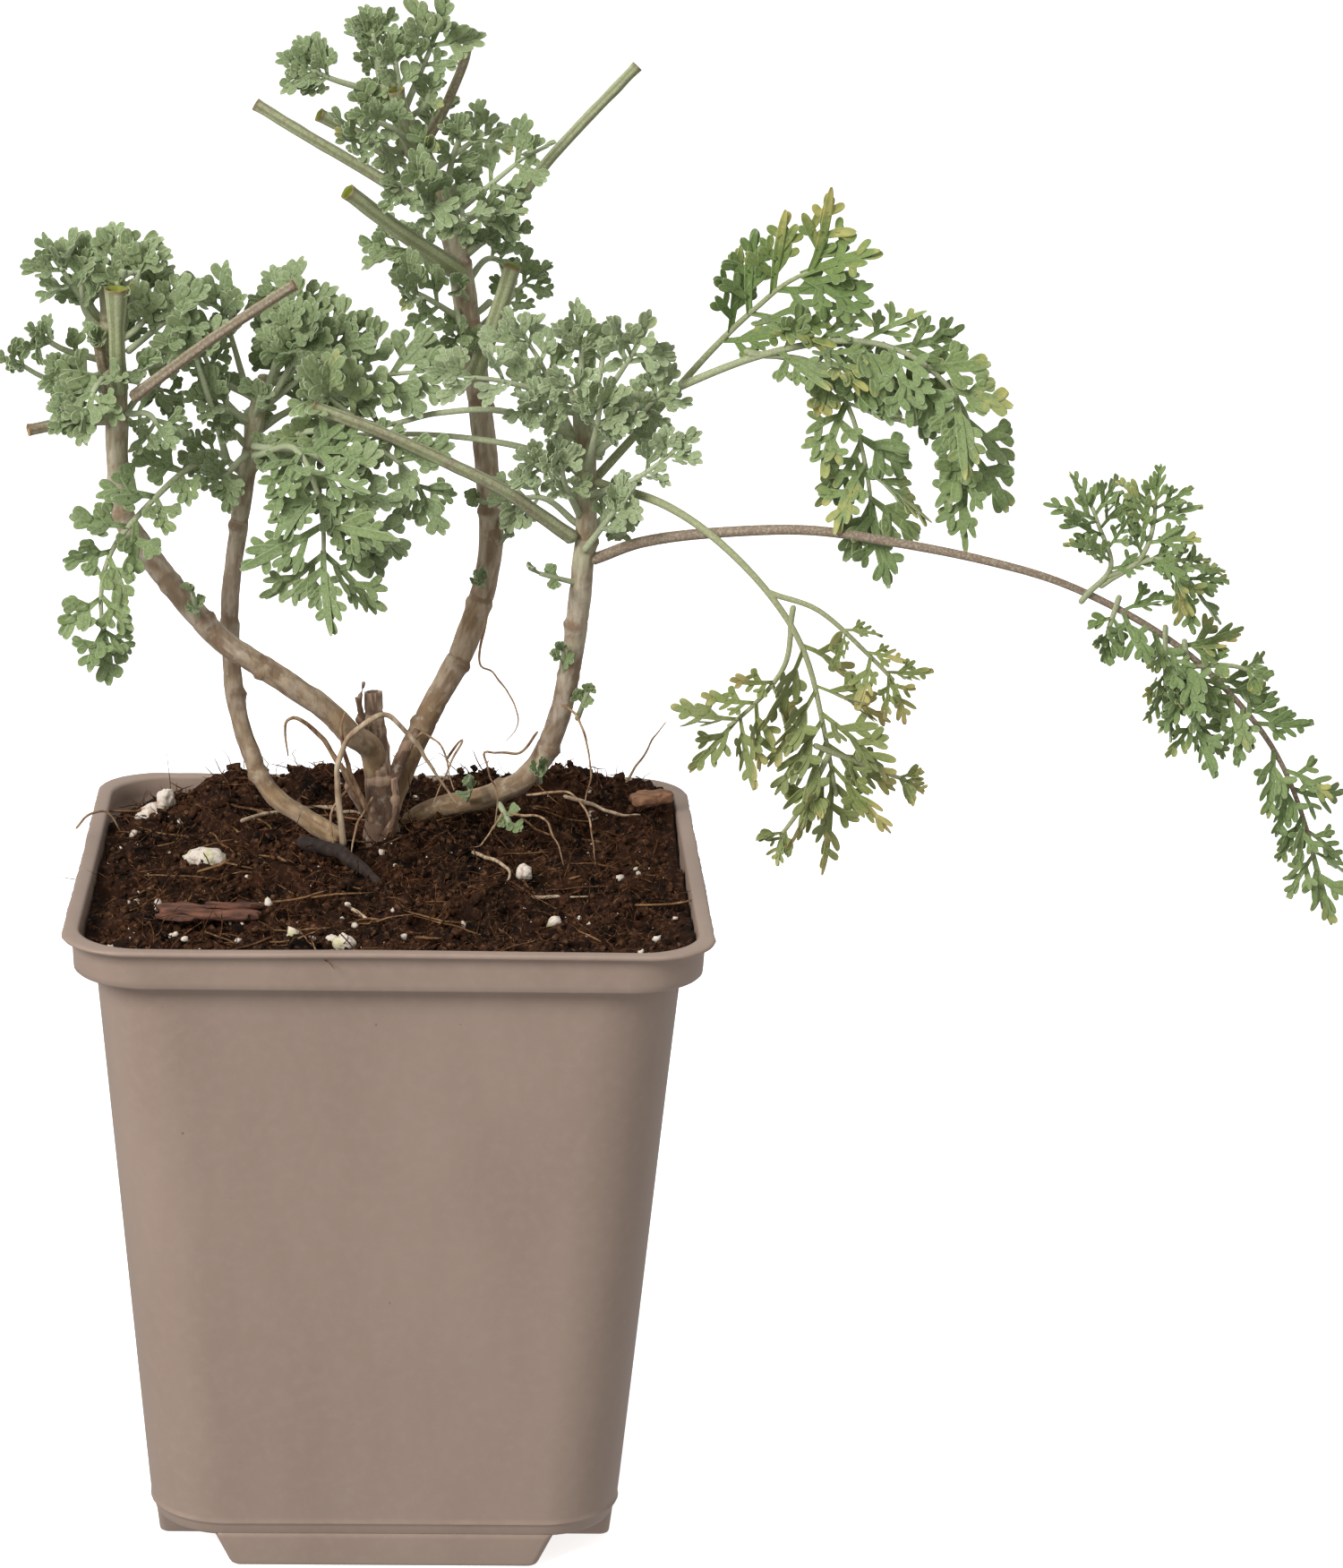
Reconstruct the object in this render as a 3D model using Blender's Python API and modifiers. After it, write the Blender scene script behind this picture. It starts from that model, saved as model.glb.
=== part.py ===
# Wormwood growing in a square nursery pot: the pot, its soil and litter, a woody
# crown, four shoots, the cut leaf stalks and the leaves, each as its own solid.
# Origin at the middle of the pot's flat underside, +Z up, -Y towards the viewer.
import math
import random

import bmesh
import bpy
from mathutils import Vector

MM = 0.001

# ---- driving dimensions, in millimetres ----
POT_HEIGHT = 96.5
LIP_HALF = 45.0          # half the width over the flat lip
LIP_THICK = 0.7
BAND_HALF = 43.7         # outside of the upright band under the lip
BAND_DROP = 5.8          # how far the band reaches below the top
WALL_TOP_HALF = 40.8
WALL_FOOT_HALF = 33.9
SKIRT_TOP = 7.2          # height of the mould seam, where the skirt starts
CORNER_FLOOR = 4.9       # underside of the four raised corners
WALL = 1.0
CORNER_RADIUS = 11.0
CORNER_STEPS = 5
FOOT_HALF_TOP = 24.5     # half-width of the cross-shaped foot
FOOT_HALF_BASE = 22.0
DRAIN_RADIUS = 4.0
DRAIN_PLACE = 26.5
GAP = 0.3                # clearance between neighbouring solids
SOIL_EDGE = 93.0
LEAF_THICK = 0.9
STALK_HALF = 0.75        # half-width of a leaf stalk
SEED = 7

# Shoots: points on the centre line and the radius at each, in millimetres.
STEMS = {
    "stem_left": (1.7, [(-6, 6, 113), (-10, 4, 118), (-18, 2, 124), (-25.5, 1, 129.5),
                        (-35.5, 2, 141.5), (-39, 3, 148.5), (-39.5, 3, 166.5), (-40.5, 3, 180)]),
    "stem_front_left": (1.55, [(-8, 4, 98.5), (-12.5, 5, 101), (-18, 6, 105), (-22, 8, 114),
                               (-23.5, 10, 123), (-23.5, 10, 135), (-20, 8, 159), (-18.5, 8, 165.5)]),
    "stem_centre": (1.75, [(1, 15.5, 104.5), (5.5, 16, 114.5), (10.5, 17, 124.5), (14, 18, 138),
                           (13, 18, 153.5), (10, 18, 174.5), (7, 18, 187.5), (0.5, 18, 201.5),
                           (-2, 18, 206.5)]),
    "stem_right": (1.65, [(5, 17, 99), (13.5, 15, 101.5), (20, 13, 105.5), (24, 11, 114),
                          (26, 8, 125.5), (27, 6, 136.5), (27.5, 5, 147.5), (26.5, 5, 164.5)]),
}
CROWN = [((-1, 8, 80), 2.2), ((-1.5, 8, 92), 3.2), ((-1.5, 8.5, 98), 3.0), ((-2, 10, 106), 2.4),
         ((-2.5, 11, 112), 1.9), ((-3, 11, 119.5), 1.6)]

# Leaf stalks whose blades were cut off, and the dry straw: radius and centre line.
STALKS = {
    "cut_stalk_left_low": (0.9, [(-51.5, -2, 159.5), (-46, 0, 160.3), (-42, 1.2, 160.6)]),
    "cut_stalk_left_high": (0.9, [(-14, -7, 181.5), (-25, -6.5, 174), (-35.5, -5.5, 165.8)]),
    "cut_stalk_top_left": (1.1, [(-20.5, 22, 202.5), (-13.5, 21, 198.5), (-1.5, 20, 191.8)]),
    "cut_stalk_top_right": (1.0, [(34, 20, 209), (22.5, 19.5, 196.5), (15.5, 19, 187.3)]),
    "cut_stalk_top": (0.9, [(10, 20.5, 214), (9, 20.3, 208.5), (5, 20, 199.5)]),
    "cut_stalk_thick": (1.4, [(-7, 6, 192.5), (-0.5, 10, 187), (6.4, 14.6, 181.7)]),
    "cut_stalk_short": (1.5, [(16.5, 14.3, 181), (14.8, 14.6, 175), (12.8, 14.8, 170)]),
    "cut_stalk_crossing": (1.1, [(-11.5, -3, 163.5), (-2.5, -2, 160), (5, -1, 156.5), (15, 0, 151.5),
                                 (20.5, 2, 147.5), (24, 2.8, 145)]),
    "dry_straw": (0.5, [(-7, 1, 99.4), (-8, 1, 108.5), (-7, 1, 112.5), (-4.5, 1.5, 116),
                        (-0.5, 3, 117), (3.5, 4, 112.5), (9.5, 6, 104)]),
    "dark_root": (0.7, [(-12.5, 0.5, 98.4), (-9, -2.5, 98.6), (-5, -5, 98.4), (-2, -8, 97.8)]),
}

# Leaves: centre line of stalk and blade, half-width of the blade, share of the length that is
# stalk, number of side lobes, and how far the blade is turned about its own line (degrees).
LEAVES = {
    "left_leaf_top": ([(-39.8, 6.1, 172), (-40, 11, 188)], 4.5, 0.3, 3, 0),
    "left_leaf_upper": ([(-42.5, 3.5, 174.5), (-49.5, -2, 187)], 4.0, 0.3, 3, 0),
    "left_leaf_middle": ([(-42.3, 2.4, 169), (-47, -0.5, 171), (-52, -3, 175)], 3.0, 0.2, 3, 0),
    "left_leaf_lower": ([(-42.3, 2.8, 165), (-49, 0, 166.5), (-56, -3, 171.5)], 3.0, 0.25, 3, 0),
    "left_leaf_front": ([(-40.3, -0.1, 167.5), (-42, -7, 166), (-44, -11, 159)], 5.0, 0.2, 3, 0),
    "left_leaf_drooping": ([(-37, 0.6, 161.5), (-34, -4, 162), (-31.5, -7, 157)], 3.5, 0.2, 3, 0),
    "left_leaf_inner": ([(-36.6, 2.6, 171), (-26, 0, 180)], 5.0, 0.25, 3, 0),
    "front_left_leaf_outer": ([(-21.6, 9.2, 164.5), (-26.5, 9, 182)], 5.0, 0.35, 3, 0),
    "front_left_leaf_top": ([(-17.3, 10.8, 165.5), (-13, 13, 182)], 4.5, 0.3, 3, 0),
    "front_left_leaf_inner": ([(-16.6, 6.2, 164.5), (-10, 2, 177)], 4.5, 0.3, 3, 0),
    "front_left_leaf_long": ([(-16.4, 8.4, 160), (-11, 7.5, 163), (-4.5, 6, 166), (11, 5, 168)], 4.0, 0.4, 4, 0),
    "front_left_leaf_stalked": ([(-24.3, 6.3, 155), (-25.5, 4.5, 160), (-28, 1.5, 169), (-30, -2, 177)],
                                4.5, 0.6, 3, 0),
    "front_left_leaf_hanging": ([(-19.3, 4.6, 155), (-14, -3, 157.5), (-12.5, -8, 150), (-18, -10, 143)],
                                5.0, 0.3, 4, 0),
    "front_left_leaf_side": ([(-23.2, 5.6, 151.5), (-28, 2.5, 154), (-35, -4, 149), (-40, -7, 142.5),
                              (-41, -9, 134.5), (-38.5, -11, 125)], 4.0, 0.25, 5, 0),
    "top_leaf_left": ([(-4.3, 16.6, 205.5), (-10, 14, 207.5), (-17, 12.5, 211)], 4.0, 0.4, 3, 0),
    "top_leaf_back": ([(-2.6, 20.8, 205.5), (-4.5, 23.5, 217.5)], 3.5, 0.3, 3, 0),
    "top_leaf_right": ([(1.6, 15.9, 204.5), (7.5, 14, 219)], 5.5, 0.35, 3, 0),
    "top_leaf_left_low": ([(-0.4, 15.6, 197), (-5, 10, 199), (-9.5, 6, 197.5)], 4.0, 0.25, 3, 0),
    "top_leaf_back_right": ([(6.2, 20.6, 194.5), (16, 26, 201)], 4.0, 0.3, 3, 0),
    "top_leaf_right_low": ([(9.2, 15.6, 189), (22, 11, 200.5)], 4.5, 0.35, 3, 0),
    "top_leaf_front": ([(6, 15, 189), (3.5, 8.5, 191.5), (1.5, 5, 195.5)], 5.0, 0.2, 3, 0),
    "centre_leaf_left": ([(6.9, 20.3, 179), (0, 22, 182), (-6, 21, 181.5)], 4.0, 0.25, 3, 0),
    "centre_leaf_front": ([(8.4, 15.5, 173.5), (2, 9.5, 178), (-3.5, 7.5, 178)], 4.5, 0.25, 3, 0),
    "centre_leaf_right": ([(13.2, 20.2, 172), (22, 26, 180)], 3.5, 0.3, 3, 0),
    "right_leaf_back": ([(24.4, 6.8, 160), (20, 9.5, 169), (14.5, 10.5, 175)], 4.0, 0.45, 3, 0),
    "right_leaf_top": ([(26.5, 8, 163.5), (26.5, 10, 177.5)], 4.5, 0.25, 3, 0),
    "right_leaf_upper": ([(29.2, 3.6, 163.5), (37, -1, 177)], 5.0, 0.25, 3, 0),
    "right_leaf_outer": ([(29.8, 4.2, 156.8), (33, 3, 160), (41, 1, 169)], 4.0, 0.35, 3, 0),
    "right_leaf_folded": ([(27.6, 2.1, 155), (28.5, -1.5, 161), (29.5, -4, 169)], 3.5, 0.3, 2, 0),
    "right_leaf_low": ([(28.6, 2.2, 150.5), (34, -2, 153.5), (43, -5, 161)], 4.0, 0.35, 3, 0),
    "right_leaf_left": ([(24.2, 3.6, 163.8), (14, -2, 167.5), (4, -5.5, 168.5)], 4.0, 0.35, 4, 0),
    "right_leaf_long_left": ([(24.3, 5.8, 154.5), (16, 6.5, 156.6), (5, 8, 157.5), (-8, 6, 157.8),
                              (-16, 0, 160)], 5.5, 0.68, 3, 0),
    "right_leaf_high_left": ([(24.2, 4.2, 158.8), (15, 3.5, 162), (6, 3.2, 161.6), (-2, 2.5, 160),
                              (-8, 1, 163), (-14, -3.5, 170)], 4.5, 0.6, 3, 0),
    "right_leaf_tall": ([(30, 7, 153), (38, 8, 162), (45, 7, 170.5), (51, 5, 177), (57, 3, 182),
                         (69, -2, 187)], 12.0, 0.5, 4, 0),
    "right_leaf_arching": ([(29.7, 5.2, 160), (40.5, 3, 166), (51.5, 0.5, 171), (63, -1, 173.5),
                            (72, -3, 172), (79, -5, 166), (81, -7, 158.5), (78, -9, 148)], 8.0, 0.42, 6, 0),
    "right_leaf_withered": ([(30, 3.2, 151.5), (38, -2, 150), (45.5, -7, 146), (53, -11, 139),
                             (58, -13, 131), (61, -15, 120), (64.5, -17, 103)], 7.5, 0.5, 6, 0),
    "right_leaf_trailing": ([(29.7, 4.3, 140.8), (35.5, 0, 144), (44.5, -5, 146.5), (58, -9, 148),
                             (70.5, -12, 147), (83, -14, 145), (94, -15, 142), (105.5, -16, 136.5),
                             (114.5, -17, 130), (123.5, -18, 120), (129, -19, 108.5),
                             (132.5, -20, 95)], 9.0, 0.5, 7, 0),
}

# Loose pieces on the soil: place and size of each, in millimetres.
PERLITE = [((-36, 30), 2.2), ((-27, 0), 2.6), ((-6, -36), 1.9), ((20, -8), 1.6)]
BARK = {"bark_flake": ((-25, -27), (13, 4, 1.6), -12), "bark_chip": ((39, 24), (6, 4, 2.0), 20)}


# ---- materials ----
def material(name, color, roughness):
    made = bpy.data.materials.new(name)
    made.use_nodes = True
    shader = made.node_tree.nodes["Principled BSDF"]
    shader.inputs["Base Color"].default_value = (*color, 1.0)
    shader.inputs["Roughness"].default_value = roughness
    shader.inputs["Metallic"].default_value = 0.0
    return made


def finish(obj, color, roughness):
    obj.data.materials.clear()
    obj.data.materials.append(material(obj.name, color, roughness))
    return obj


def mesh_object(name, points, faces, collection):
    mesh = bpy.data.meshes.new(name)
    mesh.from_pydata([tuple(c * MM for c in p) for p in points], [], faces)
    mesh.update()
    obj = bpy.data.objects.new(name, mesh)
    collection.objects.link(obj)
    return obj


def recalculate(obj):
    shape = bmesh.new()
    shape.from_mesh(obj.data)
    bmesh.ops.recalc_face_normals(shape, faces=shape.faces)
    shape.to_mesh(obj.data)
    shape.free()


def boolean(obj, cutter, operation):
    step = obj.modifiers.new(cutter.name, "BOOLEAN")
    step.operation = operation
    step.object = cutter
    step.solver = "EXACT"


def hide_cutter(obj):
    obj.hide_render = True
    obj.display_type = "WIRE"
    return obj


# ---- lofts of rounded squares ----
def rounded_square(half, radius, height):
    # One ring, counter-clockwise seen from above, with an arc at each corner.
    ring = []
    for quarter in range(4):
        turn = quarter * math.pi / 2
        centre_x = (half - radius) * (math.cos(turn) - math.sin(turn))
        centre_y = (half - radius) * (math.sin(turn) + math.cos(turn))
        for step in range(CORNER_STEPS + 1):
            angle = turn + step * math.pi / 2 / CORNER_STEPS
            ring.append((centre_x + radius * math.cos(angle), centre_y + radius * math.sin(angle), height))
    return ring


def loft(name, rings, collection):
    # Bridges each ring to the next and caps the two ends.
    count = len(rings[0])
    points = [p for ring in rings for p in ring]
    faces = []
    for level in range(len(rings) - 1):
        low, high = level * count, (level + 1) * count
        for i in range(count):
            j = (i + 1) % count
            faces.append((low + i, low + j, high + j, high + i))
    faces.append(tuple(range(count - 1, -1, -1)))
    faces.append(tuple(range(len(points) - count, len(points))))
    obj = mesh_object(name, points, faces, collection)
    recalculate(obj)
    return obj


def cross_arm(name, along_x, inset, low, high, reach, collection):
    # One tapered bar of the cross-shaped foot.
    rings = []
    for height, half in ((low, FOOT_HALF_BASE - inset), (high, FOOT_HALF_TOP - inset)):
        x, y = (reach, half) if along_x else (half, reach)
        rings.append([(x, -y, height), (x, y, height), (-x, y, height), (-x, -y, height)])
    return loft(name, rings, collection)


def pot(parts, cutters):
    top = POT_HEIGHT
    band_foot = top - BAND_DROP
    radius = CORNER_RADIUS
    outside = [
        rounded_square(WALL_FOOT_HALF - 0.6, radius, CORNER_FLOOR),
        rounded_square(WALL_FOOT_HALF, radius, SKIRT_TOP),
        rounded_square(WALL_TOP_HALF, radius + 1, band_foot - 0.5),
        rounded_square(BAND_HALF - 0.3, radius - 0.5, band_foot),
        rounded_square(BAND_HALF, radius - 0.5, top - LIP_THICK - 0.1),
        rounded_square(LIP_HALF, radius - 1.5, top - LIP_THICK),
        rounded_square(LIP_HALF, radius - 1.5, top),
    ]
    body = loft("pot", outside, parts)
    for along_x in (True, False):
        arm = cross_arm(f"foot_{along_x}", along_x, 0, 0, SKIRT_TOP, WALL_FOOT_HALF - 0.8, cutters)
        boolean(body, hide_cutter(arm), "UNION")
    inside = [
        rounded_square(WALL_FOOT_HALF - WALL - 0.5, radius - 1, CORNER_FLOOR + WALL),
        rounded_square(WALL_TOP_HALF - WALL, radius, band_foot - 0.2),
        rounded_square(BAND_HALF - WALL, radius - 1, band_foot + 1.0),
        rounded_square(BAND_HALF - WALL, radius - 1, top + 2),
    ]
    boolean(body, hide_cutter(loft("pot_cavity", inside, cutters)), "DIFFERENCE")
    for along_x in (True, False):
        hollow = cross_arm(f"foot_hollow_{along_x}", along_x, WALL, WALL, SKIRT_TOP + 1,
                           WALL_FOOT_HALF - WALL - 0.9, cutters)
        boolean(body, hide_cutter(hollow), "DIFFERENCE")
    for x in (-DRAIN_PLACE, DRAIN_PLACE):
        for y in (-DRAIN_PLACE, DRAIN_PLACE):
            bpy.ops.mesh.primitive_cylinder_add(vertices=16, radius=DRAIN_RADIUS * MM, depth=4 * MM,
                                                location=(x * MM, y * MM, (CORNER_FLOOR + 0.5) * MM))
            drain = bpy.context.object
            drain.name = f"drain_{x:.0f}_{y:.0f}"
            move_to(drain, cutters)
            boolean(body, hide_cutter(drain), "DIFFERENCE")
    return finish(body, (0.33, 0.25, 0.19), 0.55)


def move_to(obj, collection):
    for old in list(obj.users_collection):
        old.objects.unlink(obj)
    collection.objects.link(obj)


# ---- soil ----
def soil_height(x, y):
    # A low dome with heaps at the back, a sunk back-left corner and two hollows.
    def bump(cx, cy, spread, height):
        return height * math.exp(-((x - cx) ** 2 + (y - cy) ** 2) / (2 * spread ** 2))
    return (95.2 + bump(0, 8, 18, 2.0) + bump(-27, 31, 6, 4.0) + bump(31, 31, 9, 3.5)
            + bump(-41, 38, 6, -4.0) + bump(22, 12, 6, -2.2) + bump(35, 10, 5, -2.2))


def soil(parts, cutters, crown_pocket):
    top_half = BAND_HALF - WALL - GAP
    band_foot = POT_HEIGHT - BAND_DROP
    radius = CORNER_RADIUS - 1
    rings = [
        rounded_square(WALL_FOOT_HALF - WALL - 0.5 - GAP, radius, CORNER_FLOOR + WALL + GAP),
        rounded_square(WALL_TOP_HALF - WALL - GAP, radius + 1, band_foot + 0.3),
        rounded_square(top_half, radius, band_foot + 1.9),
    ]
    for share in (1.0, 0.9, 0.76, 0.62, 0.46, 0.3, 0.14):
        ring = rounded_square(top_half * share, radius * share, 0)
        rings.append([(x, y, max(soil_height(x, y), SOIL_EDGE if share > 0.95 else 0)) for x, y, _ in ring])
    bed = loft("potting_soil", rings, parts)
    for along_x in (True, False):
        arm = cross_arm(f"soil_foot_{along_x}", along_x, WALL + GAP + 0.1, WALL + GAP, CORNER_FLOOR + 4,
                        WALL_FOOT_HALF - WALL - 1.4, cutters)
        boolean(bed, hide_cutter(arm), "UNION")
    boolean(bed, hide_cutter(crown_pocket), "DIFFERENCE")
    return finish(bed, (0.055, 0.035, 0.022), 0.95)


def perlite(index, place, size, parts):
    # A crumbly white grain: a coarse ball with every corner pushed in or out.
    x, y = place
    bpy.ops.mesh.primitive_ico_sphere_add(subdivisions=2, radius=size * MM)
    grain = bpy.context.object
    grain.name = f"perlite_{index}"
    move_to(grain, parts)
    draw = random.Random(SEED + index)
    for vertex in grain.data.vertices:
        vertex.co *= draw.uniform(0.84, 1.0)
        vertex.co.z *= 0.8
    grain.location = (x * MM, y * MM, (soil_height(x, y) + size * 0.8 + 0.5) * MM)
    return finish(grain, (0.8, 0.79, 0.75), 0.9)


def bark(name, place, size, turn, parts):
    x, y = place
    bpy.ops.mesh.primitive_cube_add(size=MM)
    chip = bpy.context.object
    chip.name = name
    move_to(chip, parts)
    for vertex in chip.data.vertices:
        vertex.co = Vector([c * s for c, s in zip(vertex.co, size)])
    edge = chip.modifiers.new("worn_edges", "BEVEL")
    edge.width = 0.4 * MM
    edge.segments = 2
    chip.location = (x * MM, y * MM, (soil_height(x, y) + size[2] / 2 + 1.1) * MM)
    chip.rotation_euler = (0, 0, math.radians(turn))
    return finish(chip, (0.16, 0.09, 0.05), 0.9)


# ---- stems, stalks and straw ----
def smooth_route(points, steps):
    # Catmull-Rom spline through the given points, with end points doubled.
    nodes = [Vector(p) for p in points]
    nodes = [nodes[0] * 2 - nodes[1]] + nodes + [nodes[-1] * 2 - nodes[-2]]
    route = []
    for i in range(1, len(nodes) - 2):
        a, b, c, d = nodes[i - 1:i + 3]
        for step in range(steps):
            t = step / steps
            route.append(0.5 * (2 * b + (c - a) * t + (2 * a - 5 * b + 4 * c - d) * t ** 2
                                + (3 * b - a - 3 * c + d) * t ** 3))
    route.append(nodes[-2])
    return route


def tube(name, points, radii, steps, collection):
    # A round bar along a route; radii are read between the route's own points.
    route = smooth_route(points, steps)
    curve = bpy.data.curves.new(name, "CURVE")
    curve.dimensions = "3D"
    curve.bevel_depth = MM
    curve.bevel_resolution = 2
    curve.use_fill_caps = True
    line = curve.splines.new("POLY")
    line.points.add(len(route) - 1)
    for index, place in enumerate(route):
        share = min(index / steps, len(radii) - 1)
        low = min(int(share), len(radii) - 2)
        line.points[index].co = (*(place * MM), 1.0)
        line.points[index].radius = radii[low] + (radii[low + 1] - radii[low]) * (share - low)
    obj = bpy.data.objects.new(name, curve)
    collection.objects.link(obj)
    return obj


def solid_copy(curve_object, name, collection):
    # The curve as a closed mesh, for use as a cutter.
    seen = curve_object.evaluated_get(bpy.context.evaluated_depsgraph_get())
    mesh = bpy.data.meshes.new_from_object(seen)
    shape = bmesh.new()
    shape.from_mesh(mesh)
    bmesh.ops.remove_doubles(shape, verts=shape.verts, dist=0.00001)
    bmesh.ops.recalc_face_normals(shape, faces=shape.faces)
    shape.to_mesh(mesh)
    shape.free()
    obj = bpy.data.objects.new(name, mesh)
    obj.matrix_world = curve_object.matrix_world
    collection.objects.link(obj)
    bpy.data.objects.remove(curve_object)
    return obj


def crown(parts, cutters):
    points = [p for p, _ in CROWN]
    radii = [r for _, r in CROWN]
    made = tube("rootstock_crown", points, radii, 3, parts)
    pocket = tube("pocket_line", [(-1, 8, 79.5)] + points[1:], [r + 0.5 for r in radii], 3, cutters)
    bpy.context.view_layer.update()
    pocket = solid_copy(pocket, "crown_pocket", cutters)
    return finish(made, (0.12, 0.075, 0.045), 0.85), pocket


# ---- leaves ----
def lobed_half_width(share, half, stalk_share, lobes):
    # Narrow stalk, then rounded side lobes under an outline that tapers to the tip.
    if share <= stalk_share:
        return STALK_HALF
    along = (share - stalk_share) / (1 - stalk_share)
    outline = math.sin(math.pi * min(1.0, 0.12 + 0.82 * along)) ** 0.7
    notch = 0.62 + 0.38 * math.cos(2 * math.pi * (along * lobes - 0.5))
    return max(STALK_HALF, half * outline * notch)


def leaf(name, route_points, half, stalk_share, lobes, roll, parts):
    # A strip along the leaf's line, faced to the viewer, then thickened.
    length = sum((Vector(b) - Vector(a)).length for a, b in zip(route_points, route_points[1:]))
    steps = max(3, round(length / (len(route_points) - 1) / 1.9))
    route = smooth_route(route_points, steps)
    last = len(route) - 1
    points = []
    for index, place in enumerate(route):
        ahead = (route[min(index + 1, last)] - route[max(index - 1, 0)]).normalized()
        across = ahead.cross(Vector((0, 1, 0)))
        across.normalize()
        normal = across.cross(ahead)
        turn = math.radians(roll)
        across = across * math.cos(turn) + normal * math.sin(turn)
        reach = across * lobed_half_width(index / last, half, stalk_share, lobes)
        points += [place - reach, place, place + reach]
    faces = []
    for index in range(last):
        low, high = index * 3, (index + 1) * 3
        faces.append((low, low + 1, high + 1, high))
        faces.append((low + 1, low + 2, high + 2, high + 1))
    blade = mesh_object(name, points, faces, parts)
    shell = blade.modifiers.new("thickness", "SOLIDIFY")
    shell.thickness = LEAF_THICK * MM
    shell.offset = 0
    return finish(blade, (0.2, 0.27, 0.13), 0.8)


def build():
    for obj in list(bpy.data.objects):
        bpy.data.objects.remove(obj)
    parts = bpy.data.collections.new("potted_wormwood")
    cutters = bpy.data.collections.new("cutters")
    for collection in (parts, cutters):
        bpy.context.scene.collection.children.link(collection)
    pot(parts, cutters)
    pocket = crown(parts, cutters)[1]
    soil(parts, cutters, pocket)
    for index, (place, size) in enumerate(PERLITE, 1):
        perlite(index, place, size, parts)
    for name, (place, size, turn) in BARK.items():
        bark(name, place, size, turn, parts)
    for name, (radius, points) in STEMS.items():
        radii = [radius * (1.1 - 0.2 * i / (len(points) - 1)) for i in range(len(points))]
        finish(tube(name, points, radii, 4, parts), (0.26, 0.22, 0.15), 0.7)
    for name, (radius, points) in STALKS.items():
        finish(tube(name, points, [radius] * len(points), 3, parts), (0.3, 0.26, 0.14), 0.7)
    for name, (route, half, stalk_share, lobes, roll) in LEAVES.items():
        leaf(name, route, half, stalk_share, lobes, roll, parts)


build()
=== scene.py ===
import math
import re
import bpy
import numpy as np
from mathutils import Matrix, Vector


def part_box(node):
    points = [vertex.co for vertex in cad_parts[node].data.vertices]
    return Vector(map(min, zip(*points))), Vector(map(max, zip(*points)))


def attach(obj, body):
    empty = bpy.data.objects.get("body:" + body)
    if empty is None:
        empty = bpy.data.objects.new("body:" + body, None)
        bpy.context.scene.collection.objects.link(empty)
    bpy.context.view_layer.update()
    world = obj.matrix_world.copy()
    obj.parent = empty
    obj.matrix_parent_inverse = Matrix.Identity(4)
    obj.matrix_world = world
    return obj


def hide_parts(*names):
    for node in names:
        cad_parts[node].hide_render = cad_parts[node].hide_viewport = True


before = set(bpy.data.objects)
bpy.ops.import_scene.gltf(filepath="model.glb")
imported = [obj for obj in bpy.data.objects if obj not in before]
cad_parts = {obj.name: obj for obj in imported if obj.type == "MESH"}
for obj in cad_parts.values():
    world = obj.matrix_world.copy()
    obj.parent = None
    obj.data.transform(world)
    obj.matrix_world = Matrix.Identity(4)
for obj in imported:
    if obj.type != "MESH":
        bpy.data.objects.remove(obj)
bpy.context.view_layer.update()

# Wormwood in a square nursery pot. Lengths are millimetres until fillMesh turns them into metres.
# Origin under the middle of the pot, +Z up, the viewer on the -Y side.
mm = 0.001
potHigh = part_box("pot")[1]
potTop = potHigh.z / mm
lipHalf = potHigh.x / mm
bpy.context.scene.view_settings.view_transform = "Standard"


# Camera, light and floor
cameraPlan = {"place": (4.0, -630.4, 287.7), "yaw": 1.455, "pitch": 15.91, "roll": 0.981, "lens": 104.16,
              "shift": 0.09}


def addCamera(plan):
    # Looks along +Y, then turned right by yaw, down by pitch and clockwise by roll
    yaw, pitch, roll = (math.radians(plan[key]) for key in ("yaw", "pitch", "roll"))
    forward = np.array([math.sin(yaw) * math.cos(pitch), math.cos(yaw) * math.cos(pitch), -math.sin(pitch)])
    level = np.array([math.cos(yaw), -math.sin(yaw), 0.0])
    over = np.cross(level, forward)
    right = math.cos(roll) * level + math.sin(roll) * over
    top = math.cos(roll) * over - math.sin(roll) * level
    data = bpy.data.cameras.new("camera")
    data.lens = plan["lens"]
    data.shift_x = plan["shift"]
    data.clip_start, data.clip_end = 0.01, 20
    camera = bpy.data.objects.new("camera", data)
    bpy.context.scene.collection.objects.link(camera)
    matrix = np.eye(4)
    matrix[:3, 0], matrix[:3, 1], matrix[:3, 2] = right, top, -forward
    matrix[:3, 3] = np.array(plan["place"]) * mm
    camera.matrix_world = Matrix(matrix.tolist())
    bpy.context.scene.camera = camera


lightPlan = {
    "world": 0.5,
    "areas": [   # name, place in metres, size, watts
        ("keyLight", (-0.9, -0.95, 0.95), 0.7, 20.0), ("topLight", (0.1, 0.1, 1.3), 0.8, 3.0),
    ],
}


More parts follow.
